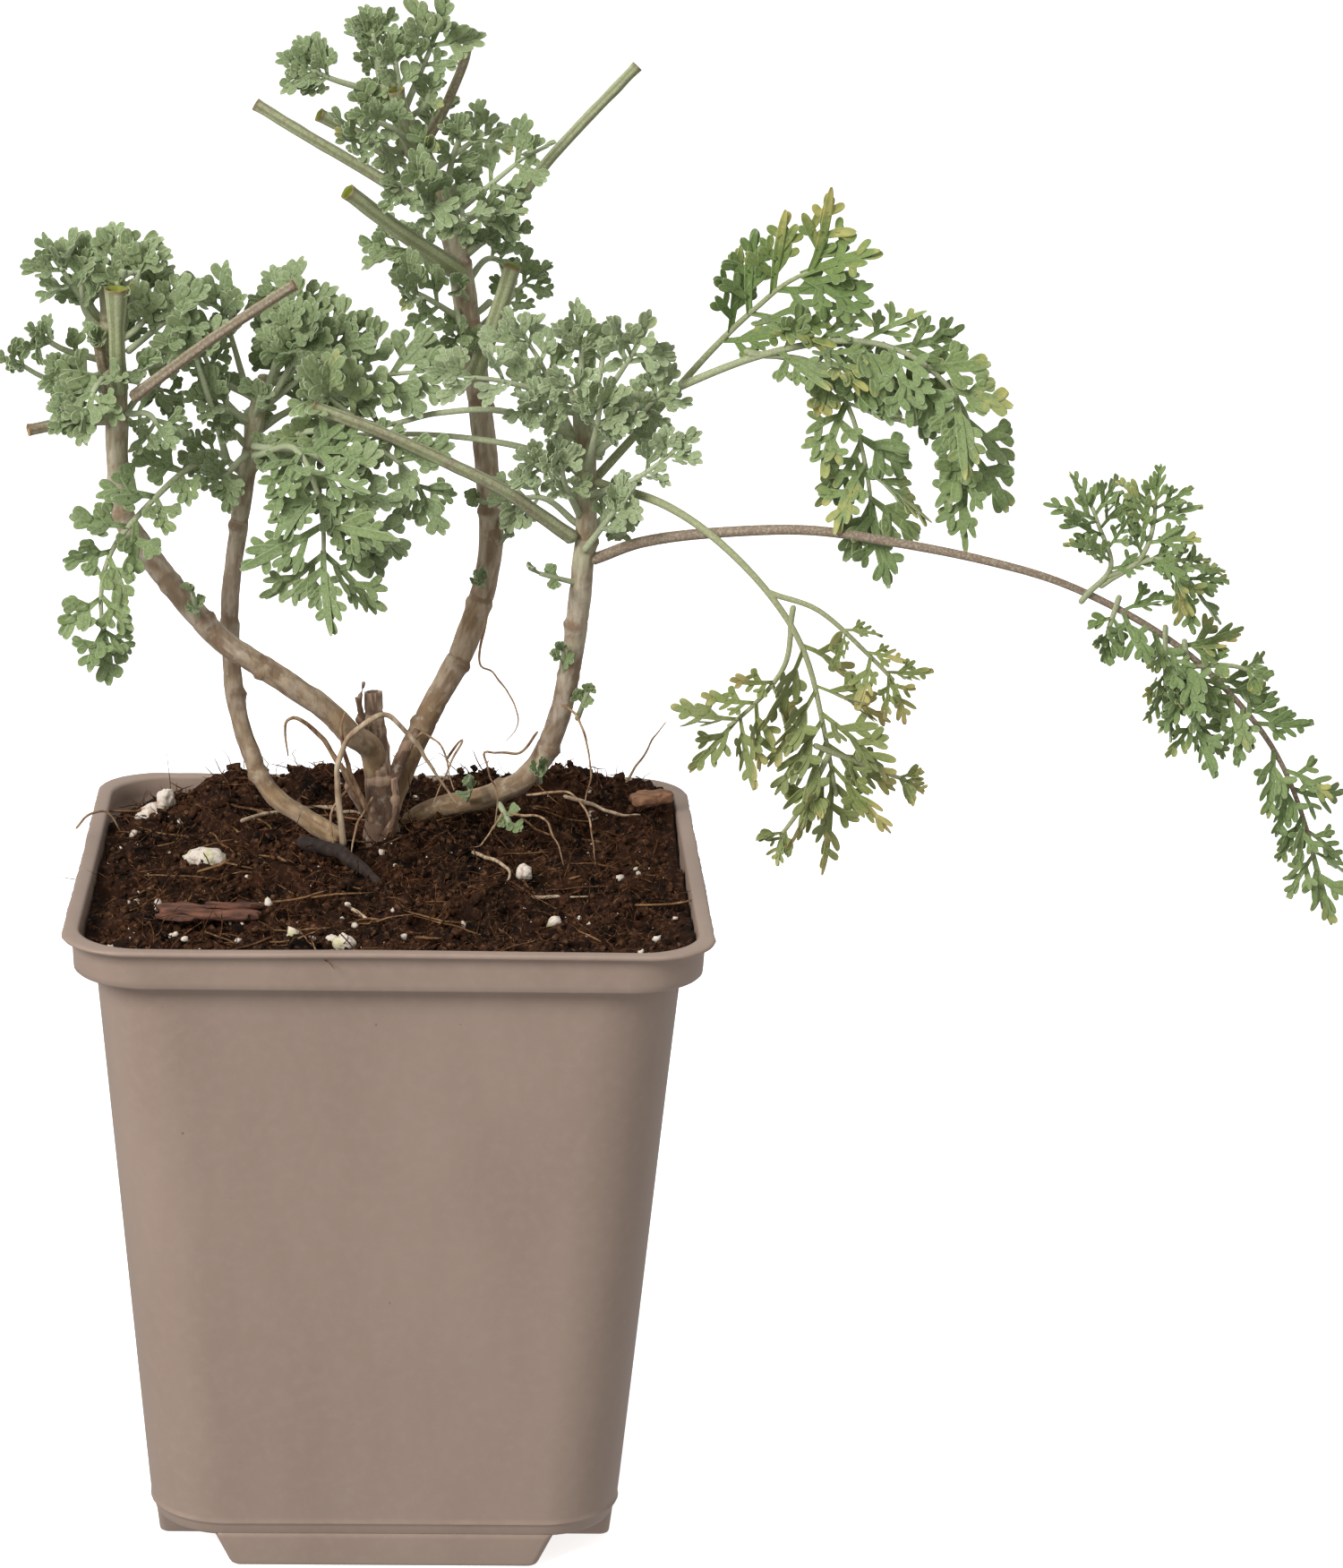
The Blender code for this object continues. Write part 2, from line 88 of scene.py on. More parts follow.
def addLights(plan):
    world = bpy.data.worlds.new("studio")
    bpy.context.scene.world = world
    world.use_nodes = True
    background = world.node_tree.nodes["Background"]
    background.inputs["Color"].default_value = (1.0, 1.0, 1.0, 1.0)
    background.inputs["Strength"].default_value = plan["world"]
    target = np.array([0.0, 0.0, 0.11])
    for name, place, size, watts in plan["areas"]:
        lamp = bpy.data.lights.new(name, "AREA")
        lamp.energy = watts
        lamp.shape = "DISK"
        lamp.size = size
        holder = bpy.data.objects.new(name, lamp)
        bpy.context.scene.collection.objects.link(holder)
        back = np.array(place) - target
        back /= np.linalg.norm(back)
        side = np.cross([0.0, 0.0, 1.0], back)
        side /= np.linalg.norm(side)
        matrix = np.eye(4)
        matrix[:3, 0], matrix[:3, 1], matrix[:3, 2], matrix[:3, 3] = side, np.cross(back, side), back, place
        holder.matrix_world = Matrix(matrix.tolist())


def unit(vector):
    vector = np.asarray(vector, float)
    return vector / np.maximum(np.linalg.norm(vector, axis=-1, keepdims=True), 1e-9)


# Mesh and material helpers
def fillMesh(name, points, quads, tris=()):
    # Quads and triangles over one list of points, all shaded smooth
    tris = np.asarray(tris, int).reshape(-1, 3)
    quads = np.asarray(quads, int).reshape(-1, 4)
    mesh = bpy.data.meshes.new(name)
    corners = np.concatenate([quads.ravel(), tris.ravel()]).astype(np.int32)
    starts = np.concatenate([np.arange(len(quads)) * 4,
                             len(quads) * 4 + np.arange(len(tris)) * 3]).astype(np.int32)
    mesh.vertices.add(len(points))
    mesh.vertices.foreach_set("co", (np.asarray(points) * mm).astype(np.float32).ravel())
    mesh.loops.add(len(corners))
    mesh.loops.foreach_set("vertex_index", corners)
    mesh.polygons.add(len(starts))
    mesh.polygons.foreach_set("loop_start", starts)
    mesh.polygons.foreach_set("use_smooth", np.ones(len(starts), bool))
    mesh.update(calc_edges=True)
    mesh.validate()
    return mesh


def addPiece(name, surface, finish, replaced=(), colors=None):
    # One visible piece: its mesh, its finish, the body it rides on and the solids it stands for
    points, quads, tris = surface
    mesh = fillMesh(name, points, quads, tris)
    if colors is not None:
        layer = mesh.attributes.new("shape", "FLOAT_COLOR", "POINT")
        layer.data.foreach_set("color", np.asarray(colors, np.float32).ravel())
    mesh.materials.append(finish)
    piece = bpy.data.objects.new(name, mesh)
    bpy.context.scene.collection.objects.link(piece)
    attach(piece, "root")
    if replaced:
        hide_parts(*replaced)
    return piece


def joinSurfaces(surfaces):
    # Puts several surfaces (points, quads, tris) into one list of points
    points, quads, tris, shift = [], [], [], 0
    for part in surfaces:
        points.append(part[0])
        quads.append(np.asarray(part[1], int).reshape(-1, 4) + shift)
        tris.append(np.asarray(part[2], int).reshape(-1, 3) + shift)
        shift += len(part[0])
    return np.concatenate(points), np.concatenate(quads), np.concatenate(tris)


def cellValue(ix, iy, iz, seed):
    # A repeatable value from 0 to 1 for each whole-number cell
    mixed = np.sin(ix * 127.1 + iy * 311.7 + iz * 74.7 + seed * 53.3) * 43758.5453
    return mixed - np.floor(mixed)


def cloud(points, size, seed=0):
    # Smooth noise from -1 to 1: cell values blended over lumps of the given size
    scaled = np.asarray(points, float) / size
    base = np.floor(scaled)
    part = scaled - base
    part = part * part * (3 - 2 * part)
    total = 0.0
    for i in (0, 1):
        for j in (0, 1):
            for k in (0, 1):
                weight = (np.where(i, part[..., 0], 1 - part[..., 0])
                          * np.where(j, part[..., 1], 1 - part[..., 1])
                          * np.where(k, part[..., 2], 1 - part[..., 2]))
                total = total + weight * cellValue(base[..., 0] + i, base[..., 1] + j, base[..., 2] + k, seed)
    return total * 2 - 1


def gridQuads(rows, columns, wrap):
    # Quads of a grid stored row by row; wrap joins the last column to the first
    across = columns if wrap else columns - 1
    row, column = np.meshgrid(np.arange(rows - 1), np.arange(across), indexing="ij")
    beside = (column + 1) % columns
    a, b = row * columns + column, row * columns + beside
    return np.stack([a, b, b + columns, a + columns], -1).reshape(-1, 4)


def closedRings(rings):
    # rings (rows, columns, 3) around a line, closed by a pole at each end
    rows, columns = rings.shape[:2]
    points = np.concatenate([rings.reshape(-1, 3), rings[:1].mean(1), rings[-1:].mean(1)])
    first, last = rows * columns, rows * columns + 1
    step = np.arange(columns)
    beside = (step + 1) % columns
    low = np.stack([np.full(columns, first), beside, step], -1)
    top = (rows - 1) * columns
    high = np.stack([np.full(columns, last), top + step, top + beside], -1)
    return points, gridQuads(rows, columns, True), np.concatenate([low, high])


def smoothRoute(points, step):
    # Catmull-Rom curve through the points, then spaced evenly
    nodes = np.asarray(points, float)
    nodes = np.concatenate([[2 * nodes[0] - nodes[1]], nodes, [2 * nodes[-1] - nodes[-2]]])
    share = np.linspace(0, 1, 24, endpoint=False)[:, None]
    spans = []
    for i in range(1, len(nodes) - 2):
        a, b, c, d = nodes[i - 1:i + 3]
        spans.append(0.5 * (2 * b + (c - a) * share + (2 * a - 5 * b + 4 * c - d) * share ** 2
                            + (3 * b - a - 3 * c + d) * share ** 3))
    dense = np.concatenate(spans + [nodes[-2:-1]])
    length = np.concatenate([[0], np.cumsum(np.linalg.norm(np.diff(dense, axis=0), axis=1))])
    count = max(4, int(round(length[-1] / step)) + 1)
    even = np.linspace(0, length[-1], count)
    return np.stack([np.interp(even, length, dense[:, k]) for k in range(3)], -1), even


def sweep(route, even, radii, sides, relief, startRows, endRows, face=(0, -1, 0.2), flat=1.0):
    # A round or flattened section carried along a route: relief(along, around) is added to the radius.
    # End rows are (distance past the end, share of the radius); flat squeezes the section towards its face.
    ahead = unit(np.gradient(route, axis=0))
    up = np.asarray(face, float)
    up = unit(up - (ahead @ up)[:, None] * ahead)
    across = np.cross(up, ahead)
    around = np.linspace(0, 2 * math.pi, sides, endpoint=False)
    radius = radii[:, None] + relief(even[:, None], around[None, :])
    startRows, endRows = np.array(startRows)[::-1], np.array(endRows)
    spot = np.concatenate([np.zeros(len(startRows), int), np.arange(len(route)),
                           np.full(len(endRows), len(route) - 1)])
    past = np.concatenate([-startRows[:, 0], np.zeros(len(route)), endRows[:, 0]])
    share = np.concatenate([startRows[:, 1], np.ones(len(route)), endRows[:, 1]])
    reach = radius[spot] * share[:, None]
    rings = (route[spot] + ahead[spot] * past[:, None])[:, None] \
        + across[spot][:, None] * (np.cos(around) * reach)[..., None] \
        + up[spot][:, None] * (np.sin(around) * reach * flat)[..., None]
    return closedRings(rings), spot


roundStart = ((0.02, 0.97), (0.3, 0.8), (0.45, 0.4))
cutEnd = ((0.03, 0.9), (0.0, 0.74), (-0.7, 0.6), (-0.9, 0.2))


def linear(red, green, blue):
    # Screen colour 0-255 to the linear values that shaders take
    return tuple(((c / 255 + 0.055) / 1.055) ** 2.4 if c > 10 else c / 255 / 12.92
                 for c in (red, green, blue))


def plug(links, target, value):
    # Puts a socket or a plain value into an input
    if isinstance(value, bpy.types.NodeSocket):
        links.new(value, target)
    elif isinstance(value, tuple) and len(value) == 3:
        target.default_value = (*value, 1.0)
    else:
        target.default_value = value


class finishGraph:
    # One material's nodes, with the few patterns that every finish here is made of
    def __init__(self, name, roughness):
        self.made = bpy.data.materials.new(name)
        self.made.use_nodes = True
        self.nodes, self.links = self.made.node_tree.nodes, self.made.node_tree.links
        self.shader = self.nodes["Principled BSDF"]
        self.put("Roughness", roughness)

    def put(self, socket, value):
        plug(self.links, self.shader.inputs[socket], value)

    def mixed(self, factor, first, second):
        node = self.nodes.new("ShaderNodeMix")
        node.data_type = "RGBA"
        for index, value in ((0, factor), (6, first), (7, second)):   # the colour mode's own inputs
            plug(self.links, node.inputs[index], value)
        return node.outputs[2]

    def sums(self, operation, first, second):
        node = self.nodes.new("ShaderNodeMath")
        node.operation = operation
        plug(self.links, node.inputs[0], first)
        plug(self.links, node.inputs[1], second)
        return node.outputs[0]

    def spread(self, value, low, high, outLow=0.0, outHigh=1.0):
        # Maps low..high to outLow..outHigh, held at both ends
        node = self.nodes.new("ShaderNodeMapRange")
        for index, number in enumerate((value, low, high, outLow, outHigh)):
            plug(self.links, node.inputs[index], number)
        return node.outputs[0]

    def noise(self, size, detail=3.0, stretch=None):
        # Cloudy pattern on Object coordinates with lumps of about the given size in millimetres
        place = self.nodes.new("ShaderNodeTexCoord").outputs["Object"]
        if stretch:
            mapping = self.nodes.new("ShaderNodeMapping")
            mapping.inputs["Scale"].default_value = stretch
            self.links.new(place, mapping.inputs["Vector"])
            place = mapping.outputs["Vector"]
        node = self.nodes.new("ShaderNodeTexNoise")
        node.inputs["Scale"].default_value = 1.0 / (size * mm)
        node.inputs["Detail"].default_value = detail
        node.inputs["Roughness"].default_value = 0.55
        self.links.new(place, node.inputs["Vector"])
        return node.outputs["Fac"]

    def bumped(self, height, strength, depth):
        # Raises the surface by height times depth, in millimetres
        node = self.nodes.new("ShaderNodeBump")
        node.inputs["Strength"].default_value = strength
        node.inputs["Distance"].default_value = depth * mm
        self.links.new(height, node.inputs["Height"])
        self.put("Normal", node.outputs["Normal"])

    def carried(self, layer):
        # The four values that a piece carries on its points
        source = self.nodes.new("ShaderNodeAttribute")
        source.attribute_name = layer
        parts = self.nodes.new("ShaderNodeSeparateColor")
        self.links.new(source.outputs["Color"], parts.inputs[0])
        return [*list(parts.outputs)[:3], source.outputs["Alpha"]]


# Floor
def addFloor():
    # A sheet that runs flat under the pot and curves up behind it: a quarter circle between two planes
    share = np.linspace(0, 1, 25)
    angle = share * math.pi / 2
    bend, back, tall, wide = 900.0, 1800.0, 5200.0, 7000.0
    depth = np.concatenate([[-5000.0], back + bend * np.sin(angle), [back + bend]])
    height = np.concatenate([[0.0], bend * (1 - np.cos(angle)), [tall]])
    side = np.array([-wide, wide])
    points = np.stack([np.broadcast_to(side, (len(depth), 2)), np.repeat(depth[:, None], 2, 1),
                       np.repeat(height[:, None], 2, 1)], -1).reshape(-1, 3)
    points[:, 2] -= 0.05
    mesh = fillMesh("floor", points, gridQuads(len(depth), 2, False))
    paint = finishGraph("whiteFloor", 0.9)
    grain = paint.spread(paint.noise(400.0), 0.3, 0.7, 0.93, 0.95)
    tone = paint.nodes.new("ShaderNodeCombineColor")
    for index in range(3):
        paint.links.new(grain, tone.inputs[index])
    paint.put("Base Color", tone.outputs[0])
    paint.put("Emission Color", (1.0, 1.0, 1.0, 1.0))
    paint.put("Emission Strength", 0.75)
    mesh.materials.append(paint.made)
    floor = bpy.data.objects.new("floor", mesh)
    bpy.context.scene.collection.objects.link(floor)
    floor.visible_diffuse = False      # the sheet stays white without lighting the pot from below
    floor.visible_glossy = False


addCamera(cameraPlan)
addLights(lightPlan)
addFloor()
print("camera, lights and floor set")


# Pot
potPlan = {
    "bandHalf": 43.7, "bandDrop": 5.8, "lipThick": 0.7, "wallTopHalf": 40.8, "wallFootHalf": 33.9,
    "seam": 7.2, "cornerFloor": 4.9, "wall": 1.0, "around": 400,
    "footTop": 24.5, "footBase": 22.0, "footReach": 33.2, "footTall": 5.2, "footCorner": 1.2,
}


def roundedSquare(half, corner, count):
    # Points around a square of the given half width whose corners are arcs, evenly spaced by length
    straight, arc = 2 * (half - corner), corner * math.pi / 2
    walk = np.linspace(0, 4, count, endpoint=False)
    quarter = np.floor(walk)
    along = (walk - quarter) * (straight + arc)
    onArc = along > straight
    angle = np.where(onArc, (along - straight) / max(corner, 1e-6), 0.0)
    x = half - corner + corner * np.cos(angle)
    y = np.where(onArc, half - corner + corner * np.sin(angle), along - straight / 2)
    turn = quarter * math.pi / 2
    return np.stack([x * np.cos(turn) - y * np.sin(turn), x * np.sin(turn) + y * np.cos(turn)], -1)


def potSurface(plan):
    # Rounded squares stacked along the wall's section, from the middle of the underside, up the outside,
    # over the lip and down the inside; the lip and the seam carry ragged mould flash from noise
    top, wall, floor, seam = potTop, plan["wall"], plan["cornerFloor"], plan["seam"]
    bandFoot = top - plan["bandDrop"]
    lipFoot = top - plan["lipThick"]
    foot, wallTop, band = plan["wallFootHalf"], plan["wallTopHalf"], plan["bandHalf"]
    rows = [  # half width, corner radius, height, how ragged
        (3, 1, floor, 0), (12, 4, floor, 0), (24, 8, floor, 0), (foot - 1.6, 10, floor, 0),
        (foot - 0.9, 10.6, floor + 0.1, 0), (foot - 0.6, 11, floor + 0.5, 0),
        (foot - 0.3, 11.3, seam - 0.8, 0), (foot - 0.12, 11.4, seam - 0.3, 0),
        (foot + 0.1, 11.5, seam - 0.15, 1), (foot + 0.12, 11.5, seam, 1), (foot + 0.02, 11.5, seam + 0.2, 0),
        (foot + 0.04, 11.5, seam + 0.8, 0),
    ]
    for share in np.linspace(0.04, 0.985, 26):
        height = seam + (bandFoot - 0.5 - seam) * share
        rows.append((foot + (wallTop - foot) * share, 11.5 + 0.5 * share, height, 0))
    rows += [
        (wallTop + 0.02, 12, bandFoot - 0.55, 0), (wallTop + 0.2, 11.8, bandFoot - 0.35, 0),
        (band - 0.9, 10.8, bandFoot - 0.2, 0), (band - 0.4, 10.6, bandFoot - 0.05, 0),
        (band - 0.2, 10.6, bandFoot + 0.2, 0), (band - 0.14, 10.6, bandFoot + 1.0, 0),
        (band - 0.1, 10.6, bandFoot + 2.0, 0), (band - 0.06, 10.5, bandFoot + 3.2, 0),
        (band - 0.02, 10.5, lipFoot - 0.55, 0), (band + 0.1, 10.4, lipFoot - 0.25, 0),
        (band + 0.4, 10.2, lipFoot - 0.08, 0), (lipHalf - 0.3, 9.8, lipFoot, 0.4),
        (lipHalf - 0.12, 9.6, lipFoot + 0.1, 1), (lipHalf - 0.04, 9.5, lipFoot + 0.3, 1),
        (lipHalf - 0.1, 9.5, top - 0.2, 0.8), (lipHalf - 0.25, 9.4, top - 0.06, 0.5),
        (lipHalf - 0.6, 9.2, top, 0), (lipHalf - 1.3, 9.0, top, 0), (band - wall + 0.4, 9.2, top - 0.02, 0),
        (band - wall + 0.12, 9.4, top - 0.15, 0), (band - wall, 9.5, top - 0.5, 0),
        (band - wall - 0.05, 9.6, top - 2.5, 0), (band - wall - 0.1, 9.6, bandFoot + 1.2, 0),
        (band - wall - 0.4, 9.8, bandFoot + 0.9, 0), (wallTop - wall + 0.3, 10.6, bandFoot + 0.5, 0),
        (wallTop - wall, 11, bandFoot, 0), (wallTop - wall - 1.2, 11, bandFoot - 16, 0),
        (foot - wall + 0.4, 10.6, 12, 0), (foot - wall - 0.3, 10, 6.4, 0), (foot - wall - 1.5, 9.5, 5.95, 0),
        (12, 4, 5.9, 0), (3, 1, 5.9, 0),
    ]
    rings = []
    for half, bend, height, ragged in rows:
        flatRing = roundedSquare(half, bend, plan["around"])
        ring = np.concatenate([flatRing, np.full((len(flatRing), 1), height)], 1)
        outward = unit(flatRing)
        flaw = cloud(ring * (1, 1, 0.2), 2.2, 3) * 0.55 + cloud(ring * (1, 1, 0.2), 0.7, 4) * 0.45
        push = ragged * (0.16 * np.clip(flaw, -0.4, 1) + 0.22 * np.clip(flaw - 0.35, 0, 1))
        warp = 0.10 * cloud(ring, 34.0, 5)      # the thin walls are not quite true
        ring[:, :2] += outward * (push + warp)[:, None]
        ring[:, 2] += ragged * 0.08 * flaw
        if height > lipFoot - 1.0:
            ring[:, 2] += 0.12 * cloud(ring * (1, 1, 0), 26.0, 6)
        rings.append(ring)
    return closedRings(np.array(rings))


def footSurface(plan):
    # The cross-shaped foot: a plus outline with small rounded corners, narrower at the bottom than at the top
    rows = []
    levels = [   # height, how far the outline steps in
        (0.0, -0.55), (0.06, -0.22), (0.25, -0.06), (0.6, 0.0), (4.4, 0.0), (plan["footTall"], 0.0)]
    for height, inset in levels:
        share = height / plan["footTall"]
        armHalf = plan["footBase"] + (plan["footTop"] - plan["footBase"]) * share + inset
        reach = plan["footReach"] - 0.35 * (1 - share) + inset
        ring = roundedBar(reach, armHalf, plan["footCorner"])
        rows.append(np.concatenate([ring, np.full((len(ring), 1), height)], 1))
    return closedRings(np.array(rows))


def roundedBar(reach, armHalf, corner):
    # Outline of a plus sign, counter-clockwise: each tip corner is an arc, each inner corner a small fillet
    arc = np.linspace(0, math.pi / 2, 7)
    tip = reach - corner
    side = armHalf - corner
    quarter = [
        np.stack([np.full(9, reach), np.linspace(-side, side, 9)], -1),
        np.stack([tip + corner * np.cos(arc), side + corner * np.sin(arc)], -1)[1:],
        np.stack([np.linspace(tip, armHalf + 0.6, 6), np.full(6, armHalf)], -1)[1:],
        np.stack([np.full(6, armHalf), np.linspace(armHalf + 0.6, tip, 6)], -1),
        np.stack([side + corner * np.cos(arc), tip + corner * np.sin(arc)], -1)[1:-1],
    ]
    quarter = np.concatenate(quarter)
    turned = [quarter @ np.array([[math.cos(t), math.sin(t)], [-math.sin(t), math.cos(t)]])
              for t in np.arange(4) * math.pi / 2]
    return np.concatenate(turned)


def potPlastic():
    # Warm taupe moulding: faint flow marks and specks, satin gloss
    paint = finishGraph("taupePlastic", 0.46)
    base, dark, light = linear(160, 139, 125), linear(153, 132, 118), linear(168, 148, 135)
    flow = paint.noise(16.0, 4.0, (1.0, 1.0, 0.35))
    tone = paint.mixed(paint.spread(flow, 0.35, 0.65), dark, base)
    fine = paint.noise(1.6, 3.0)
    tone = paint.mixed(paint.spread(fine, 0.45, 0.8, 0.0, 0.35), tone, light)
    specks = paint.nodes.new("ShaderNodeTexVoronoi")
    specks.inputs["Scale"].default_value = 620.0
    paint.links.new(paint.nodes.new("ShaderNodeTexCoord").outputs["Object"], specks.inputs["Vector"])
    few = paint.noise(2.7, 2.0)
    dots = paint.sums("MULTIPLY", paint.spread(specks.outputs["Distance"], 0.16, 0.05),
                paint.spread(few, 0.66, 0.72))
    tone = paint.mixed(dots, tone, linear(112, 90, 76))
    paint.put("Base Color", tone)
    paint.put("Roughness", paint.spread(fine, 0.2, 0.8, 0.4, 0.52))
    paint.put("Specular IOR Level", 0.42)
    paint.bumped(paint.sums("ADD", paint.noise(0.35, 3.0), flow), 0.25, 0.06)
    return paint.made


def buildPot(plan):
    surfaces = [potSurface(plan), footSurface(plan)]
    addPiece("nurseryPot", joinSurfaces(surfaces), potPlastic(), ["pot"])


buildPot(potPlan)
print("pot built")


# Soil
soilPlan = {
    "half": 42.35, "corner": 9.6, "cells": 148, "around": 620, "crumbs": 5800, "fibres": 3400, "straws": 110,
    "seed": 11,
    "level": 95.2,
    # x, y, width, height: a low dome, three heaps at the back, a sunk corner, two hollows, the crown's foot
    "heaps": [
        (0, 8, 18, 2.0), (-22, 34, 9, 4.0), (29, 34, 11, 3.8), (4, 35, 9, 2.4), (-41, 38, 6, -4.0),
        (22, 12, 6, -2.2), (35, 10, 5, -2.2), (6, 8, 5, 1.0),
    ],
}


def soilHeight(x, y):
    # The level of the soil plus one bell-shaped heap or hollow for each row of the plan
    bells = [tall * np.exp(-((x - atX) ** 2 + (y - atY) ** 2) / (2 * wide ** 2))
             for atX, atY, wide, tall in soilPlan["heaps"]]
    return soilPlan["level"] + sum(bells)


def soilTop(x, y):
    # The dome with crumbly lumps of three sizes, looser at the back, calmer at the edge
    spot = np.stack([x, y, np.zeros_like(x)], -1)
    lumps = 1.3 * cloud(spot, 6.0, 21) + 1.0 * cloud(spot, 2.4, 22) + 0.6 * cloud(spot, 1.1, 23)
    edge = np.clip((np.maximum(np.abs(x), np.abs(y)) - 36.0) / 6.0, 0, 1)
    loose = np.clip((y - 14.0) / 16.0, 0, 1)
    return soilHeight(x, y) - 0.6 + lumps * (1 + 0.6 * loose) * (1 - 0.4 * edge) - 0.5 * edge


def soilSurface(plan):
    # Rounded squares that shrink to the middle over the top, with a plain closed underside
    around = plan["around"]
    shares = np.linspace(1.0, 0.01, plan["cells"])
    ring = roundedSquare(plan["half"], plan["corner"], around)
    flatTop = ring[None] * shares[:, None, None]
    top = np.concatenate([flatTop, soilTop(flatTop[..., 0], flatTop[..., 1])[..., None]], -1)
    skirt = []
    for half, height in ((8.0, 8.0), (30.5, 8.0), (31.6, 9.0), (39.4, 90.6), (42.2, 92.3)):
        flatRing = roundedSquare(half, min(plan["corner"], half * 0.8), around)
        skirt.append(np.concatenate([flatRing, np.full((around, 1), height)], 1))
    return closedRings(np.concatenate([np.array(skirt), top]))


def crumbShapes(kinds, draw):
    # A few rough lumps: an octahedron split once, each corner pushed in or out
    corners = np.array([[1, 0, 0], [-1, 0, 0], [0, 1, 0], [0, -1, 0], [0, 0, 1], [0, 0, -1]], float)
    faces = np.array([[0, 2, 4], [2, 1, 4], [1, 3, 4], [3, 0, 4], [2, 0, 5], [1, 2, 5], [3, 1, 5], [0, 3, 5]])
    edges = np.sort(np.concatenate([faces[:, [0, 1]], faces[:, [1, 2]], faces[:, [2, 0]]]), 1)
    unique, index = np.unique(edges, axis=0, return_inverse=True)
    index = index.reshape(3, -1).T + 6
    points = unit(np.concatenate([corners, corners[unique].mean(1)]))
    a, b, c = faces.T
    ab, bc, ca = index.T
    split = np.concatenate([np.stack(t, -1) for t in ((a, ab, ca), (ab, b, bc), (ca, bc, c), (ab, bc, ca))])
    shapes = points[None] * draw.uniform(0.5, 1.2, (kinds, len(points), 1))
    return shapes, split


def scatter(shapes, faces, places, sizes, draw):
    # Many turned copies of a few small closed shapes in one surface
    count = len(places)
    pick = draw.integers(0, len(shapes), count)
    turn = np.linalg.qr(draw.normal(size=(count, 3, 3)))[0]
    turn *= np.sign(np.linalg.det(turn))[:, None, None]
    local = shapes[pick] * sizes[:, None, None] * draw.uniform(0.75, 1.2, (count, 1, 3))
    points = np.einsum("nij,nvj->nvi", turn, local) + places[:, None]
    tris = faces[None] + (np.arange(count) * shapes.shape[1])[:, None, None]
    return points.reshape(-1, 3), np.zeros((0, 4), int), tris.reshape(-1, 3)


def spotsOnSoil(count, draw, reach=41.0):
    # Places spread evenly over the soil, those past its rounded corners drawn inwards
    x, y = draw.uniform(-reach, reach, (2, count))
    beyond = np.hypot(np.maximum(np.abs(x) - 32.5, 0), np.maximum(np.abs(y) - 32.5, 0)) > reach - 32.5
    x, y = np.where(beyond, x * 0.8, x), np.where(beyond, y * 0.8, y)
    return x, y


def fibreSurface(starts, headings, lengths, widths, draw, curl, rise):
    # Thin three-sided threads: each heading turns a little at every step, then the section follows it
    count, steps = len(starts), 6
    swing = draw.normal(0, curl, (count, steps)).cumsum(1)
    tilt = draw.normal(0, curl * 0.7, (count, steps)).cumsum(1) * 0.5 + draw.normal(0, rise, (count, 1))
    heading = headings[:, None] + swing
    step = (lengths / steps)[:, None]
    way = np.stack([np.cos(heading) * np.cos(tilt), np.sin(heading) * np.cos(tilt), np.sin(tilt)], -1)
    move = way * step[..., None]
    line = np.concatenate([starts[:, None], starts[:, None] + move.cumsum(1)], 1)
    ahead = unit(np.gradient(line, axis=1))
    side = unit(np.cross(ahead, [0.13, 0.07, 1.0]))
    over = np.cross(side, ahead)
    around = np.arange(3) * 2 * math.pi / 3
    taper = np.array([0.6, 1.0, 1.0, 0.95, 0.85, 0.7, 0.3])
    reach = (widths[:, None] * taper)[..., None, None]
    section = side[:, :, None] * np.cos(around)[:, None] + over[:, :, None] * np.sin(around)[:, None]
    rings = line[:, :, None] + reach * section
    points = rings.reshape(-1, 3)
    block = (steps + 1) * 3
    quads = gridQuads(steps + 1, 3, True)
    ends = np.array([[0, 2, 1], [block - 3, block - 2, block - 1]])
    shift = (np.arange(count) * block)[:, None, None]
    return points, (quads[None] + shift).reshape(-1, 4), (ends[None] + shift).reshape(-1, 3)


def earthMaterial(name, dark, mid, light):
    # Damp peat: near-black patches, brown crumbs and a few paler threads
    paint = finishGraph(name, 0.95)
    tone = paint.mixed(paint.spread(paint.noise(5.0, 5.0), 0.35, 0.68), dark, mid)
    tone = paint.mixed(paint.spread(paint.noise(0.9, 4.0), 0.52, 0.78, 0.0, 0.85), tone, light)
    paint.put("Base Color", tone)
    paint.put("Specular IOR Level", 0.12)
    paint.bumped(paint.noise(0.5, 5.0), 0.9, 0.35)
    return paint.made


